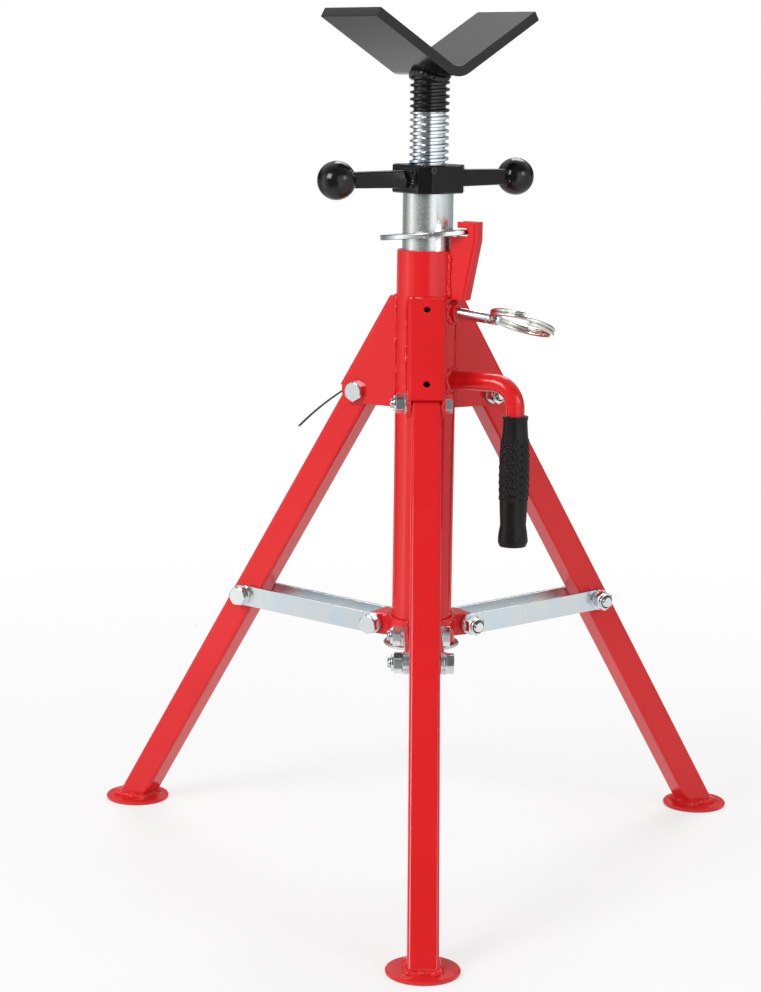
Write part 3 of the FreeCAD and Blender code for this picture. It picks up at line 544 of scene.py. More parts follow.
def post_finish():
    """The red paint, with painted shade, near black, on the post where the brackets cover it, which
    darkens what shows through the brackets' holes. With p as the azimuth, the brackets stand where
    cos(3 p) is 1."""
    material = RED.copy()
    material.name = "red_gloss_paint_on_post"
    tree = material.node_tree
    base = tree.nodes["Principled BSDF"].inputs["Base Color"]
    point = components(tree, place(tree))
    turn = calculated(tree, "COSINE", product(tree, azimuth_of(tree, point), 3.0))
    above = ranged(tree, point["Z"], BRACKET_FOOT + 4 * MM, BRACKET_FOOT + 5 * MM)
    below = ranged(tree, point["Z"], BRACKET_TOP - 3 * MM, BRACKET_TOP - 2 * MM, 1.0, 0.0)
    # painted shade on the post under the brackets
    bracket_shade = product(tree, ranged(tree, turn, 0.05, 0.15), product(tree, above, below))
    feed(tree, base, blended(tree, bracket_shade, base.links[0].from_socket, HOLE_SHADE_TONE))
    return material


BLACK_ENAMEL = {"Tone": (0.0055, 0.0055, 0.006), "Deep_tone": (0.0085, 0.0085, 0.009),
                "Gloss": 0.15, "Ripple": 420.0}
SCREW_ZINC = {"Tone": (0.8, 0.87, 0.94), "Warm_tone": (0.83, 0.87, 0.9),
              "Shine": 0.13, "Crystals": 420.0, "Contrast": 0.06}

# each finish's edge colour below is lighter than its tone: partly wear, partly a painted highlight
RED = finish("red_gloss_paint", PAINT_FILM,
             {"Tone": (0.745, 0.0125, 0.0155), "Deep_tone": (0.69, 0.011, 0.014),
              "Gloss": 0.13, "Ripple": 300.0},
             relief=0.14, depth=0.0004, ior=1.46, wear_and_highlight=((0.84, 0.14, 0.14), 0.3), dusty=0.02)
BLACK = finish("black_gloss_enamel", PAINT_FILM, BLACK_ENAMEL,
               relief=0.08, depth=0.0004, wear_and_highlight=((0.09, 0.09, 0.095), 0.5), dusty=0.015)
CAST_BLACK = finish("black_enamel_on_casting", PAINT_FILM, dict(BLACK_ENAMEL, Ripple=170.0),
                    relief=0.75, depth=0.0005, ior=1.35, wear_and_highlight=((0.11, 0.11, 0.115), 0.7))
RUBBED_BLACK = finish("rubbed_black_enamel", PAINT_FILM,
                      {"Tone": (0.05, 0.044, 0.04), "Deep_tone": (0.012, 0.011, 0.01),
                       "Gloss": 0.16, "Ripple": 900.0}, relief=0.5, depth=0.0004)
ZINC = finish("bright_zinc_plating", ZINC_COAT,
              {"Tone": (0.66, 0.74, 0.81), "Warm_tone": (0.74, 0.77, 0.74),
               "Shine": 0.22, "Crystals": 420.0},
              relief=0.03, metallic=1.0, wear_and_highlight=((0.9, 0.93, 0.96), 0.5))
FASTENER = finish("bright_zinc_fastener", ZINC_COAT,
                  {"Tone": (0.78, 0.84, 0.88), "Warm_tone": (0.82, 0.83, 0.8),
                   "Shine": 0.08},
                  relief=0.03, metallic=1.0, wear_and_highlight=((0.9, 0.93, 0.96), 0.6))
NICKEL = finish("nickel_ring_wire", ZINC_COAT,
                {"Tone": (0.76, 0.76, 0.73), "Warm_tone": (0.8, 0.77, 0.7),
                 "Shine": 0.16, "Contrast": 0.05},
                relief=0.03, metallic=1.0)
GALVANISED = finish("galvanised_tube", ZINC_COAT,
                    {"Tone": (0.66, 0.73, 0.76), "Warm_tone": (0.7, 0.72, 0.7),
                     "Shine": 0.2, "Crystals": 1000.0, "Contrast": 0.13},
                    relief=0.06, metallic=0.88)
KNOB = finish("black_moulded_knob", MOULDED_SKIN,
              {"Tone": (0.005, 0.005, 0.0055), "Rubbed_tone": (0.008, 0.008, 0.0085),
               "Pebbles": 500.0, "Gloss": 0.12},
              relief=0.04, ior=1.44, dusty=0.01)
RUBBER = finish("black_grip_rubber", MOULDED_SKIN,
                {"Tone": (0.005, 0.005, 0.0055), "Rubbed_tone": (0.009, 0.0085, 0.009),
                 "Pebbles": 1300.0, "Gloss": 0.3},
                relief=0.1, ior=1.33)
NYLON = finish("black_nylon", MOULDED_SKIN,
               {"Tone": (0.006, 0.006, 0.007), "Rubbed_tone": (0.012, 0.012, 0.013),
                "Pebbles": 800.0, "Gloss": 0.42},
               relief=0.12, ior=1.35)
SCREW = screw_finish()
POST = post_finish()

FINISHES = {"red_paint": RED, "black_paint": BLACK, "zinc_plate": ZINC, "galvanised": GALVANISED,
            "black_knob": KNOB, "black_rubber": RUBBER, "black_nylon": NYLON}


# steel work


# the radius of each piece's rounded edges, in millimetres
EDGES = {"post_tube": 0.5, "collar_stop_plate": 0.4, "latch_bracket": 0.55, "pin_boss": 0.8,
         "collar_ring": 0.5, "collar_lugs": 0.6, "v_head": 0.35, "handle_nut": 0.8,
         "friction_plate": 0.6, "inner_tube": 0.4, "ring_pin": 0.3, "leg_pivot_washers": 0.3,
         "collar_washers": 0.3, "cable_tie": 0.25, "stop_washer": 0.4}


def dress_frame():
    """Every node takes its slot's finish, and the steel work gets rounded edges."""
    for name, node in frame["nodes"].items():
        node.material_slots[0].material = FINISHES[SLOTS[name]]
    rounded = dict(EDGES)
    for leg in LEG_AZIMUTHS:
        rounded["leg_bracket_" + leg] = 0.55
        rounded["foot_plate_" + leg] = 0.6
        for side in ("head", "nut"):
            rounded["brace_bar_" + leg + "_" + side + "_side"] = 0.5
    for name, edge in rounded.items():
        look = {"handle_nut": CAST_BLACK, "post_tube": POST}.get(name, FINISHES[SLOTS[name]])
        worked(name, look, edge * MM)


# threads and fasteners


def thread(radius, depth, pitch, low, high, sides=48, flats=(0.32, 0.32)):
    """A right-hand thread between two heights. The grid's rows climb one pitch in a turn, so
    that each follows a crest or a root: z = z0 + pitch * angle / 2 pi, held between the ends.
    Over a pitch the radius keeps its crest and its root for their flats' shares, with straight
    flanks between, and the rows lie where the profile bends."""
    crest, root = flats
    turns = int(math.ceil((high - low) / pitch)) + 1
    edge, foot = crest / 2, 0.5 - root / 2
    half = [0.0, edge * 0.6, edge, edge + 0.03, foot - 0.03, foot, foot + 0.03, 0.5]
    phases = np.array(half + [1 - phase for phase in half[-2:0:-1]])
    z0 = low - pitch + pitch * (np.arange(turns)[:, None] + phases[None, :]).reshape(-1, 1)
    share = np.linspace(0, 1, sides + 1)[None, :]
    z = np.clip(z0 + pitch * share, low, high)
    phase = np.abs(np.mod((z - low) / pitch - share + 0.5, 1.0) - 0.5)
    slope = np.clip((foot - phase) / (foot - edge), 0.0, 1.0)
    lead = np.minimum(1.0, np.minimum(z - low, high - z) / (0.4 * pitch))
    r = radius - depth + depth * (slope * lead)
    angle = 2 * np.pi * share
    return np.stack([r * np.cos(angle), r * np.sin(angle), z], -1)


def bolt_end(length):
    """The threaded end of a bolt, which isn't a closed grid."""
    return capped(thread(BOLT_RADIUS, BOLT_DEPTH, BOLT_PITCH, 0.0, length, 32, (0.1, 0.1)))


def hexagon(flats, height, both_ends=False, twist=0.0, columns=72):
    """A hexagonal head round Z from height 0: its flat distance at an angle is
    flats / 2 / cos(angle to the nearest flat), its corners are a little rounded, and its end is
    cut by a cone of 30 degrees. A twist turns it on its bolt."""
    angle = np.linspace(0, 2 * np.pi, columns, endpoint=False)
    nearest = np.mod(angle + np.pi / 6, np.pi / 3) - np.pi / 6
    reach = np.minimum(flats / 2 / np.cos(nearest), flats * 0.566)
    disc = flats * 0.475
    drop = np.maximum(0.0, reach - disc) * 0.5
    low = drop * (1.0 if both_ends else 0.0)
    inward = (1.0, 0.6, 0.0)
    rows = ([(disc * share, 0.0) for share in inward[::-1]]
            + [(reach, low + (height - drop - low) * share) for share in (0.0, 0.5, 1.0)]
            + [(disc * share, height) for share in inward])
    r, z = (np.array([np.broadcast_to(row[k], columns) for row in rows]) for k in (0, 1))
    return np.stack([r * np.cos(angle + twist), r * np.sin(angle + twist), z], -1)


def shaft(radius, low, high, sides=40):
    """A closed round bar between two heights."""
    return lathe([0, radius, radius, 0], [low, low, high, high], sides)


def ring(inner, outer, low, high, chamfer, sides=48):
    """A closed flat ring between two heights, with chamfered outer edges."""
    return lathe([inner, outer - chamfer, outer, outer, outer - chamfer, inner, inner],
                 [low, low, low + chamfer, high - chamfer, high, high, low], sides)


def bolt(centre, head_face, tail, inside, twist=0.0):
    """A hex bolt along Y: its head outward from head_face, its shank, and its threaded end."""
    base = ring(0.0, HEAD_FLATS * 0.47, -0.05 * MM, 0.4 * MM, 0.1 * MM)
    parts = [along_y(hexagon(HEAD_FLATS, HEAD_HEIGHT, twist=twist), centre, head_face),
             along_y(base, centre, head_face),
             along_y(shaft(BOLT_CORE, inside, head_face), centre)]
    if tail is not None:
        parts.append((along_y(bolt_end(inside - tail), centre, tail), False))
    return parts


def lock_nut(centre, face):
    """A lock nut along -Y from its face: a hexagon with both ends cut, and a rounded collar
    whose lip is rolled in over the nylon."""
    bore, roll = BOLT_RADIUS * 1.3, 0.9 * MM
    turn_in = np.linspace(0, np.pi / 2, 5)
    radii = np.concatenate([[bore, NUT_COLLAR_RADIUS],
                            NUT_COLLAR_RADIUS - roll * (1 - np.cos(turn_in)), [bore, bore]])
    heights = np.concatenate([[0.0, 0.0], NUT_COLLAR_HEIGHT - roll * (1 - np.sin(turn_in)),
                              [NUT_COLLAR_HEIGHT, 0.0]])
    return [along_y(hexagon(HEAD_FLATS, NUT_HEIGHT, both_ends=True), centre, face, -1.0),
            along_y(lathe(radii, heights, 40), centre, face - NUT_HEIGHT, -1.0)]


def nylon_ring(centre, face):
    """The dark ring inside a lock nut's collar, just below its lip."""
    band = ring(BOLT_RADIUS * 0.96, BOLT_RADIUS * 1.36, 0.2 * MM, 1.9 * MM, 0.2 * MM)
    return along_y(band, centre, face - NUT_HEIGHT, -1.0)


def add_fasteners(bolts, nuts, rings, body, shapes, nut_shapes, ring_shapes):
    """A bolt piece, its lock nut piece and their nylon rings, each named after its nodes."""
    add_piece(bolts[0] + bolts[1], shapes, FASTENER, body, "zinc_plate", bolts[0], smooth=22.0)
    add_piece(nuts + "_crimped", nut_shapes, FASTENER, body, "zinc_plate", nuts, smooth=24.0)
    add_piece(rings, ring_shapes, NYLON, body, "black_nylon", smooth=38.0)


def fit_fasteners():
    """Bolts, lock nuts and their nylon rings, for the leg pivots, the collar and the braces.
    A brace's bolt is two ends that ride with the brace, each with its washer."""
    nut_face = -LUG_WASHER_FACE
    for bolts, nuts, body, centre, face in (
            ("leg_pivot_bolts", "leg_pivot_nuts", "post", LEG_PIVOT, BRACKET_FACE),
            ("collar_bolts", "collar_nuts", "collar", LUG_PIVOT, LUG_WASHER_FACE)):
        shapes, nut_shapes, rings = [], [], []
        for azimuth in LEG_AZIMUTHS.values():
            shapes += all_turned(bolt(centre, face, nut_face - BOLT_TAIL, nut_face), azimuth)
            nut_shapes += all_turned(lock_nut(centre, nut_face), azimuth)
            rings.append(turned(nylon_ring(centre, nut_face), azimuth))
        add_fasteners((bolts, "_threaded"), nuts, nuts + "_nylon_rings", body,
                      shapes, nut_shapes, rings)
    face = BAR_WASHER_FACE
    inner = LEG_HALF + 0.15 * MM
    washer = ring(BOLT_RADIUS * 1.02, WASHER_RADIUS, 0.0, WASHER, 0.25 * MM)
    for name, azimuth in LEG_AZIMUTHS.items():
        bolts, nuts = "brace_bolt_" + name, "brace_nut_" + name
        head = bolt(BRACE_PIVOT, face, None, inner, math.radians(30.0))
        head.append(along_y(washer, BRACE_PIVOT, face - WASHER))
        nut = lock_nut(BRACE_PIVOT, -face)
        nut.append(along_y(washer, BRACE_PIVOT, WASHER - face, -1.0))
        nut.append(along_y(shaft(BOLT_CORE, inner, face), BRACE_PIVOT, 0.0, -1.0))
        nut.append((along_y(bolt_end(BOLT_TAIL), BRACE_PIVOT, -face - BOLT_TAIL), False))
        add_fasteners((bolts, "_head"), nuts, nuts + "_nylon_ring",
                      frame["nodes"][bolts]["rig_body"], all_turned(head, azimuth),
                      all_turned(nut, azimuth),
                      [turned(nylon_ring(BRACE_PIVOT, -face), azimuth)])


def fit_screw():
    """The jack screw: a coarse thread up into the V head's underside."""
    grid = thread(SCREW_RADIUS, SCREW_DEPTH, SCREW_PITCH, SCREW_BOTTOM, HEAD_BOTTOM + 6.5 * MM, 72)
    add_piece("jack_screw_threaded", [(capped(grid), False)], SCREW, "jack_screw", "zinc_plate",
              "jack_screw")


# weld beads


def rounded_line(corners, step=0.4 * MM, softness=9):
    """Points at an equal step along straight runs between corners, each one averaged with its
    neighbours, which rounds the corners."""
    corners = np.asarray(corners, float)
    length = np.concatenate([[0], np.cumsum(np.linalg.norm(np.diff(corners, axis=0), axis=1))])
    at = np.linspace(0, length[-1], max(8, int(length[-1] / step)))
    line = np.stack([np.interp(at, length, corners[:, k]) for k in range(corners.shape[1])], 1)
    padded = np.pad(line, ((softness, softness), (0, 0)), mode="edge")
    window = np.ones(2 * softness + 1) / (2 * softness + 1)
    return np.stack([np.convolve(padded[:, k], window, "valid") for k in range(line.shape[1])], 1)


def bead(path, outward, radius, step, seed, rough=0.2):
    """A weld bead along a path: its radius rises and falls once every step, as
    radius * (1 + rough * |sin|), with uneven waves of longer runs, and falls off at both ends.
    The bead itself rises and sinks with one of the waves."""
    run = np.concatenate([[0], np.cumsum(np.linalg.norm(np.diff(path, axis=0), axis=1))])
    ripple = np.abs(np.sin(np.pi * run / step + seed))
    wave = np.sin(run / (0.83 * step) + 2.3 * seed) * np.sin(run / (1.9 * step) + seed)
    wander = 0.16 * wave + 0.1 * np.sin(run / (0.37 * step) + 1.7 * seed)
    share = 2 * run / run[-1] - 1
    ends = np.sqrt(np.clip(1 - np.abs(share) ** 24, 0.02, 1))
    lifted = path + outward * (0.3 * radius * wave)[:, None]
    return capped(sweep(lifted, outward, radius * (1 + rough * ripple + wander) * ends, 14))


def on_cylinder(line, radius):
    """A line given as (distance round, height), wrapped on a cylinder: the angle is the distance
    over the radius. Returns the points and their outward directions."""
    angle = line[:, 0] / radius
    outward = np.stack([np.cos(angle), np.sin(angle), np.zeros_like(angle)], 1)
    return outward * radius + UP * line[:, 1:2], outward


def distance_round(half, radius):
    """How far round a cylinder a piece's side stands: radius * asin(half width / radius)."""
    return radius * math.asin(half / radius)


def side_beads(azimuth, cylinder, side, low, high, size, step, seeds, rough=0.2):
    """Two upright beads on a cylinder, one at each side of a piece."""
    made = []
    for place_round, seed in zip((-side, side), seeds):
        line = rounded_line([(place_round, low), (place_round, high)])
        path, outward = on_cylinder(line, cylinder)
        made.append(turned(bead(path, outward, size, step, seed, rough), azimuth))
    return made


def add_weld(name, beads, body="post"):
    """Painted beads as one piece."""
    add_piece(name, beads, RED, body, "red_paint")


def lay_post_welds():
    """Beads where the brackets, the latch bracket, the pin's boss and the handle are welded on,
    with three rough runs to the right of the front bracket, as (low, high, size) in mm."""
    reach = distance_round(BRACKET_FACE, POST_RADIUS) + 0.9 * MM
    outline = rounded_line([(-reach, BRACKET_FOOT + 2 * MM), (-reach, BRACKET_TOP),
                            (reach, BRACKET_TOP), (reach, BRACKET_FOOT + 2 * MM)])
    path, outward = on_cylinder(outline, POST_RADIUS)
    brackets = [turned(bead(path, outward, 1.9 * MM, 4.4 * MM, seed, 0.05), azimuth)
                for seed, azimuth in enumerate(LEG_AZIMUTHS.values())]
    rough_runs = ((438.0, 541.5, 2.3), (512.0, 546.0, 3.0), (450.0, 478.0, 2.9))
    for seed, (low, high, size) in enumerate(rough_runs):
        z = np.linspace(low, high, 120) * MM
        aside = (0.69 + 0.02 * seed) * POST_RADIUS + 0.6 * MM * np.sin(z / (3.1 * MM))
        path, outward = on_cylinder(np.stack([aside, z], 1), POST_RADIUS)
        brackets.append(bead(path, outward, size * MM, 5.2 * MM, seed + 6.0, 0.22))
    add_weld("bracket_welds", brackets)
    side = distance_round(LATCH_HALF, POST_RADIUS) + 0.7 * MM
    add_weld("latch_welds", side_beads(LATCH_AZIMUTH, POST_RADIUS, side, 540.2 * MM,
                                       POST_TOP - 1.5 * MM, 1.7 * MM, 3.0 * MM, (4.0, 5.0), 0.24))
    around = np.linspace(0, 2.1 * np.pi, 150)
    roots = []
    for height, radius, size in ((526.38 * MM, 9.4 * MM, 2.3 * MM),
                                 (463.78 * MM, 9.3 * MM, 2.4 * MM)):
        loop = np.stack([radius * np.cos(around), height + radius * np.sin(around)], 1)
        path, outward = on_cylinder(loop, POST_RADIUS)
        roots.append(turned(bead(path, outward, size, 3.2 * MM, height / MM), LATCH_AZIMUTH))
    add_weld("boss_and_handle_welds", roots)


def lay_lug_and_foot_welds():
    """Beads at both sides of the collar's lugs and round the legs on their foot plates."""
    side = distance_round(LEG_HALF, COLLAR_RADIUS) + 0.5 * MM
    lugs = []
    for azimuth in LEG_AZIMUTHS.values():
        lugs += side_beads(azimuth, COLLAR_RADIUS, side, 215.0 * MM, 233.0 * MM,
                           1.3 * MM, 2.8 * MM, (azimuth - 1, azimuth + 1))
    add_weld("lug_welds", lugs, "collar")
    half_x, half_y = LEG_HALF / math.cos(LEG_LEAN) + 1.0 * MM, LEG_HALF + 1.0 * MM
    path = LEG_FOOT + rounded_line([(half_x, 0, 0), (half_x, half_y, 0), (-half_x, half_y, 0),
                                    (-half_x, -half_y, 0), (half_x, -half_y, 0),
                                    (half_x, 3 * MM, 0)], softness=10)
    for seed, (name, azimuth) in enumerate(LEG_AZIMUTHS.items()):
        foot = turned(bead(path, UP, 2.5 * MM, 3.6 * MM, seed + 1.0), azimuth)
        add_weld("foot_weld_" + name, [foot], "leg_" + name)


def add_casting(name, grids, azimuth, material=CAST_BLACK):
    """A rough form of the cast nut."""
    add_piece(name, all_turned(grids, azimuth), material, "handle_nut", "black_paint")


def lay_arm_welds():
    """The runs that join the arms to the cast nut, which bulge outward at mid height, the rough
    lip left by the mould along the nut's upper rim, and the small ring left by its riser: a
    height of exp(-((r - ring radius) / width)^2) round a point."""
    reach = 8.4 * MM
    for seed, (side, azimuth) in enumerate((("right", ARM_AZIMUTH), ("left", ARM_AZIMUTH + 180.0))):
        runs = []
        for sign in (-1, 1):
            z = np.linspace(-reach, reach, 60)
            bulge = 9.8 * MM + 0.9 * MM * np.cos(z / reach * math.pi / 2)
            path = np.stack([np.full_like(z, NUT_HALF - 2.2 * MM), sign * bulge, ARM_HEIGHT + z], 1)
            runs.append(bead(path, OUT, 5.0 * MM, 5.0 * MM, seed + 2.0 * sign, 0.06))
        add_casting("arm_weld_" + side, runs, azimuth)
    rim = NUT_TOP - 0.9 * MM
    lip = rounded_line([(27.3 * MM, -17.0 * MM, rim), (27.3 * MM, 18.2 * MM, rim),
                        (20.4 * MM, 26.0 * MM, rim)], softness=3)
    lip = bead(lip, UP, 0.85 * MM, 2.1 * MM, 3.3, 0.5)
    r = np.linspace(0.0, 3.6, 20) * MM
    height = 0.9 * MM * np.exp(-((r - 2.1 * MM) / (0.7 * MM)) ** 2) - 0.1 * MM
    mark = lathe(np.append(r, 0.0), np.append(height, -0.6 * MM), 40)
    mark = along_y(mark, np.array([-16.4 * MM, 0.0, ARM_HEIGHT + 8.5 * MM]), -NUT_HALF, -1.0)
    add_casting("nut_casting_lip", [lip], ARM_AZIMUTH + 180.0)
    add_casting("nut_riser_mark", [mark], ARM_AZIMUTH, RUBBED_BLACK)


def lay_head_weld():
    """The lumpy run that holds the V head on the screw. It follows the plate's underside, whose
    height over the screw's rim is bend - sqrt(bend^2 - x^2), then the slope of the wing. Its
    lumps are a sum of three sines round the screw."""
    around = np.linspace(0, 2.06 * np.pi, 280)
    lumps = (0.5 * np.sin(5 * around + 1.3) + 0.3 * np.sin(9 * around + 0.4)
             + 0.2 * np.sin(17 * around + 2.2))
    radius = SCREW_RADIUS - 2.3 * MM + 0.9 * MM * lumps
    across, along = radius * np.cos(around), radius * np.sin(around)
    knee = HEAD_OUTER_BEND * math.sin(HEAD_SLOPE)
    inside = np.minimum(np.abs(across), knee)
    rise = (HEAD_OUTER_BEND - np.sqrt(HEAD_OUTER_BEND ** 2 - inside ** 2)
            + np.maximum(0, np.abs(across) - knee) * math.tan(HEAD_SLOPE))
    path = np.stack([across, along, HEAD_BOTTOM + rise - 2.2 * MM], 1)
    outward = np.stack([np.cos(around), np.sin(around), 0 * around], 1)
    run = sweep(path, outward, 3.6 * MM * (1 + 0.2 * np.roll(lumps, 30)), 18)
    add_piece("head_weld_bead", [turned(capped(run), HEAD_AZIMUTH + 90.0)], BLACK, "jack_screw",
              "black_paint", "head_weld")


# grip, knobs and ring


# the grip's radius in mm by the share of its length, from its full lower end to its mouth
GRIP_PROFILE = [(0.0, 12.2), (0.012, 13.2), (0.03, 13.75), (0.075, 13.8), (0.12, 13.1),
                (0.16, 12.15), (0.3, 13.0), (0.5, 13.7), (0.68, 13.5), (0.82, 12.6),
                (0.93, 11.6), (0.972, 11.45), (0.98, 12.1), (0.995, 12.2), (1.0, 11.9)]


def fit_grip():
    """The rubber grip: its profile turned round, with small raised rings in staggered columns.
    A ring's height is exp(-((distance to its centre - ring radius) / width)^2)."""
    along = GRIP_TOP - GRIP_BOTTOM
    shares, radii = np.array(GRIP_PROFILE).T
    share = np.concatenate([np.linspace(0, 0.13, 46)[:-1], np.linspace(0.13, 0.84, 190)[:-1],
                            np.linspace(0.84, 1.0, 44)])
    smooth = np.interp(share, shares, radii * MM)
    smooth = np.convolve(np.pad(smooth, 3, mode="edge"), np.ones(7) / 7, "valid")
    sides = 240
    angle = np.linspace(0, 2 * np.pi, sides, endpoint=False)[None, :]
    z = (share * along)[:, None]
    columns, pitch = 18, 7.2 * MM
    spacing, first = 2 * np.pi / columns, math.radians(-52.4)
    column = np.round((angle - first) / spacing)
    across = (angle - first - column * spacing) * 13.7 * MM
    even = np.mod(column, 2) == 0

    def rings(lowest, rows, shift):
        """Rows of rings, the odd columns set lower by a shift."""
        offset = np.where(even, 0.0, -shift)
        row = np.clip(np.round((z - lowest - offset) / pitch), 0, rows - 1)
        distance = np.hypot(z - lowest - offset - row * pitch, across)
        rim = np.exp(-((distance - 1.6 * MM) / (0.5 * MM)) ** 2)
        return 0.75 * MM * rim - 0.35 * MM * np.exp(-(distance / (0.7 * MM)) ** 2)

    relief = rings(along - 73.3 * MM, 8, pitch / 2) + 0.6 * even * rings(5.6 * MM, 1, 0.0)
    outer = lathe(smooth[:, None] + relief, z[:, 0], sides)
    mouth = 8.55 * MM
    inner = lathe([mouth, mouth], [along, along - 14 * MM], sides)
    grid = np.concatenate([outer[:1] * UP, outer, inner, inner[-1:] * UP])
    grid = grid + np.array([GRIP_CENTRE, 0.0, GRIP_BOTTOM])
    add_piece("handle_grip_knurled", [turned(grid, LATCH_AZIMUTH)], RUBBER, "post",
              "black_rubber", "handle_grip", smooth=50.0)


def fit_knobs():
    """The two ball knobs: a sphere round the arm's end with a flat where the arm goes in and a
    faint moulding line, as radius * (1 + 0.006 exp(-((t - pi / 2) / 0.03)^2))."""
    flat = np.pi - 0.36
    t = np.linspace(0, flat, 64)
    radius = BALL_RADIUS * (1 + 0.006 * np.exp(-((t - np.pi / 2) / 0.03) ** 2))
    radii = np.append(radius * np.sin(t), 0.0)
    reach = np.append(radius * np.cos(t), BALL_RADIUS * math.cos(flat))
    ball = lathe(radii, reach, 96)
    ball = np.stack([ball[..., 2] + BALL_REACH, ball[..., 1], ARM_HEIGHT - ball[..., 0]], -1)
    for side, azimuth in (("right", ARM_AZIMUTH), ("left", ARM_AZIMUTH + 180.0)):
        add_piece("ball_knob_" + side + "_moulded", [turned(ball, azimuth)], KNOB, "handle_nut",
                  "black_knob", "ball_knob_" + side, smooth=40.0)


def fit_ring():
    """The split ring: a wire wound twice round, as a helix of R cos t, R sin t and
    pitch * t / 2 pi, turned about Z, X and Y at the pin's eye, with rounded wire ends."""
    t = np.linspace(0.06, 4 * np.pi - 0.06, 420)
    at = t + RING_START
    path = np.stack([RING_RADIUS * (1 + np.cos(at)), RING_RADIUS * np.sin(at),
                     RING_PITCH * (t / (2 * np.pi) - 1)], 1)
    leaned = np.identity(3)
    for axis, degrees in RING_TURNS:
        leaned = np.array(Matrix.Rotation(math.radians(degrees), 3, axis)) @ leaned
    ends = np.sqrt(np.clip(1 - np.abs(np.linspace(-1, 1, len(t))) ** 200, 0.02, 1))
    wire = sweep(path @ leaned.T + EYE, leaned @ UP, RING_WIRE * ends, 24)
    add_piece("pin_ring_wire", [turned(capped(wire), LATCH_AZIMUTH)], NICKEL, "pin_ring",
              "zinc_plate", "pin_ring")


# studio


# the room's level by azimuth from the front, with the edge of the key's soft box the brightest
BRIGHTEST = 2.3
STUDIO = [(-180, 1.7), (-156, 0.5), (-125, 0.2), (-106, 0.55), (-92, 1.0), (-86, 1.1),
          (-80, BRIGHTEST), (-74, 1.1), (-66, 0.9), (-56, 0.75), (-46, 0.16), (0, 0.15),
          (7, 0.45), (14, 1.5), (30, 1.45), (44, 1.1), (64, 1.0), (74, 0.8), (95, 0.75),
          (115, 0.5), (152, 0.4), (180, 1.7)]
NEAR_FLOOR = 0.85
LAMP_TARGET = Vector((0.0, 0.0, 0.42))
LAMPS = {"key_light": ((-2.1, -2.0, 2.0), 1.3, 60.0),
         "fill_light": ((2.1, -1.75, 1.5), 0.9, 12.0),
         "back_light": ((0.4, 1.9, 2.6), 1.4, 30.0)}


def make_studio_tone():
    """How bright the room is that gloss and glass mirror. The way to it gives an azimuth, and a
    ramp gives the level there: dim behind the camera, between two broad soft boxes. Above the
    floor's edge the back is dimmer, and high up the ceiling takes over, dim at the front and
    pale at the back."""
    tree, given, out = effect("studio_tone", {"Way": (0.0, 0.0, 0.0)}, {"Level": float})
    way = components(tree, given["Way"])
    ramp = tree.nodes.new("ShaderNodeValToRGB")
    feed(tree, ramp.inputs[0],
         calculated(tree, "MULTIPLY_ADD", azimuth_of(tree, way), 0.5 / math.pi, 0.5))
    stops = ramp.color_ramp.elements
    while len(stops) < len(STUDIO):
        stops.new(0.5)
    for stop, (degrees, level) in zip(stops, STUDIO):
        share = level / BRIGHTEST
        stop.position = degrees / 360.0 + 0.5
        stop.color = (share, share, share, 1.0)
    around = product(tree, ramp.outputs[0], BRIGHTEST)
    dimmed = product(tree, around, ranged(tree, way["Y"], 0.0, 0.5, 1.0, 0.18))
    around = between(tree, ranged(tree, way["Z"], 0.0, 0.04), around, dimmed)
    ceiling = ranged(tree, way["Y"], -0.3, 0.5, 0.15, 0.9)
    feed(tree, out["Level"], between(tree, ranged(tree, way["Z"], 0.3, 0.6), around, ceiling))
    return tree


def mirrored(tree):
    """Two masks: 1 for glossy and transmission rays, which see the room as gloss mirrors it, and
    1 for camera rays."""
    path = tree.nodes.new("ShaderNodeLightPath")
    return calculated(tree, "MAXIMUM", path.outputs["Is Glossy Ray"],
                      path.outputs["Is Transmission Ray"]), path.outputs["Is Camera Ray"]


STUDIO_TONE = make_studio_tone()


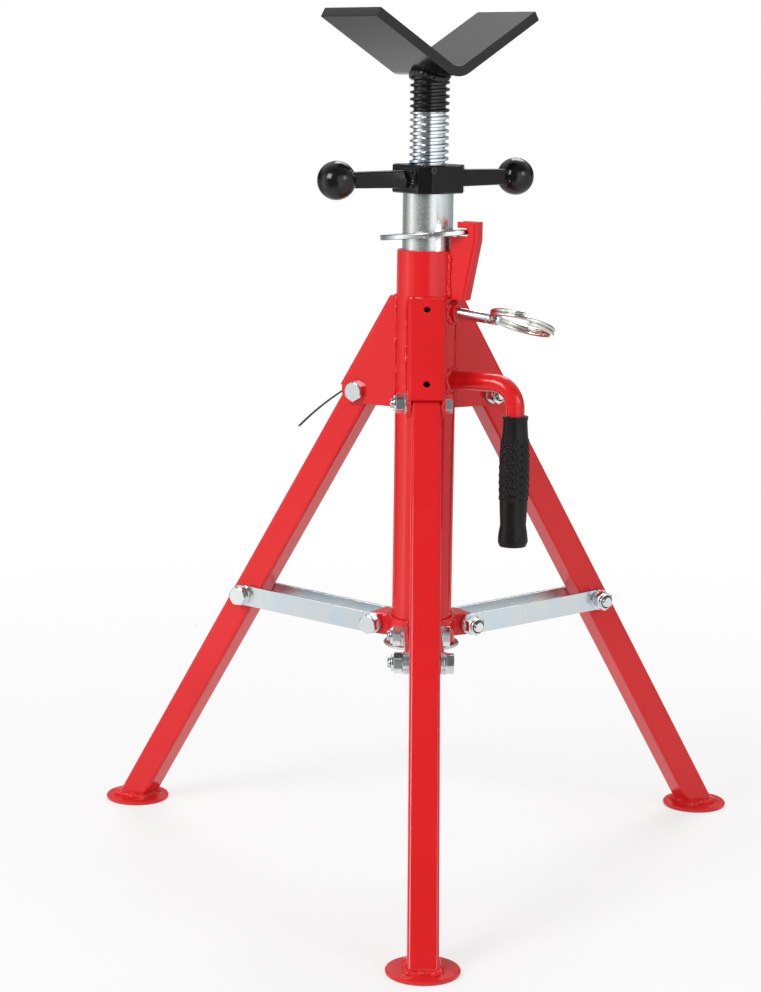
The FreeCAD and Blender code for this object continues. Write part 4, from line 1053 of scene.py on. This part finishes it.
def make_floor():
    """A wide level disc. Near the stand it is lit and takes the shadow, and away from it its
    colour goes over into the white of the backdrop. Gloss mirrors it pale near the stand, and
    farther out with the room's tone."""
    grid = lathe([0.0, 0.5, 1.5, 4.0, 12.0], np.full(5, -0.2 * MM), 96)
    mesh = bpy.data.meshes.new("floor")
    mesh.from_pydata(grid.reshape(-1, 3).tolist(), [], grid_faces(5, 96).tolist())
    material, tree, shader = new_material("pale_floor")
    shader.inputs["Roughness"].default_value = 0.55
    patches = ranged(tree, cloud(tree, place(tree), 3.0, 3.0), 0.35, 0.65)
    feed(tree, shader.inputs["Base Color"],
         blended(tree, patches, (0.84, 0.84, 0.845), (0.87, 0.87, 0.87)))
    glow = tree.nodes.new("ShaderNodeEmission")
    where = place(tree)
    mirror, camera = mirrored(tree)
    distance = tree.nodes.new("ShaderNodeVectorMath")
    distance.operation = "LENGTH"
    tree.links.new(where, distance.inputs[0])
    near = ranged(tree, distance.outputs["Value"], 0.75, 1.15, 1.0, 0.0)
    tone = between(tree, near, used(tree, STUDIO_TONE, Way=where)["Level"], NEAR_FLOOR)
    feed(tree, glow.inputs["Strength"], between(tree, mirror, 1.0, tone))
    far = ranged(tree, distance.outputs["Value"], 0.35, 1.5, 0.66, 1.0)
    mix = tree.nodes.new("ShaderNodeMixShader")
    feed(tree, mix.inputs[0], product(tree, far, calculated(tree, "MAXIMUM", mirror, camera)))
    tree.links.new(shader.outputs[0], mix.inputs[1])
    tree.links.new(glow.outputs[0], mix.inputs[2])
    tree.links.new(mix.outputs[0], tree.nodes["Material Output"].inputs["Surface"])
    mesh.materials.append(material)
    add_object("floor", mesh)


def make_backdrop():
    """The world: white where it is seen, the room's tone where it is mirrored, and otherwise a
    plain level of light."""
    world = bpy.data.worlds.new("studio")
    bpy.context.scene.world = world
    world.use_nodes = True
    tree = world.node_tree
    background = tree.nodes["Background"]
    feed(tree, background.inputs["Color"], (1.0, 1.0, 1.0))
    mirror, camera = mirrored(tree)
    way = tree.nodes.new("ShaderNodeTexCoord").outputs["Generated"]
    tone = used(tree, STUDIO_TONE, Way=way)["Level"]
    feed(tree, background.inputs["Strength"],
         between(tree, mirror, between(tree, camera, 0.5, 1.0), tone))


def light_stand():
    """Square soft boxes aimed at the middle of the stand, as (place, size, watts)."""
    for name, (where, size, watts) in LAMPS.items():
        lamp = bpy.data.lights.new(name, "AREA")
        lamp.shape = "SQUARE"
        lamp.size = size
        lamp.energy = watts
        item = add_object(name, lamp)
        item.location = where
        item.rotation_euler = (LAMP_TARGET - Vector(where)).to_track_quat("-Z", "Y").to_euler()


def aim_camera():
    """The photograph's view: from the front, a little above the head, looking down by the pitch
    and rolled about the line of sight."""
    data = bpy.data.cameras.new("camera")
    data.lens = CAMERA_LENS
    camera = add_object("camera", data)
    camera.matrix_world = (Matrix.Translation(CAMERA_PLACE)
                           @ Matrix.Rotation(math.pi / 2 - CAMERA_PITCH, 4, "X")
                           @ Matrix.Rotation(CAMERA_ROLL, 4, "Z"))
    bpy.context.scene.camera = camera


dress_frame()
fit_fasteners()
fit_screw()
lay_post_welds()
lay_lug_and_foot_welds()
lay_head_weld()
lay_arm_welds()
fit_grip()
fit_knobs()
fit_ring()
make_floor()
make_backdrop()
light_stand()
aim_camera()
bpy.context.scene.view_settings.view_transform = "Standard"
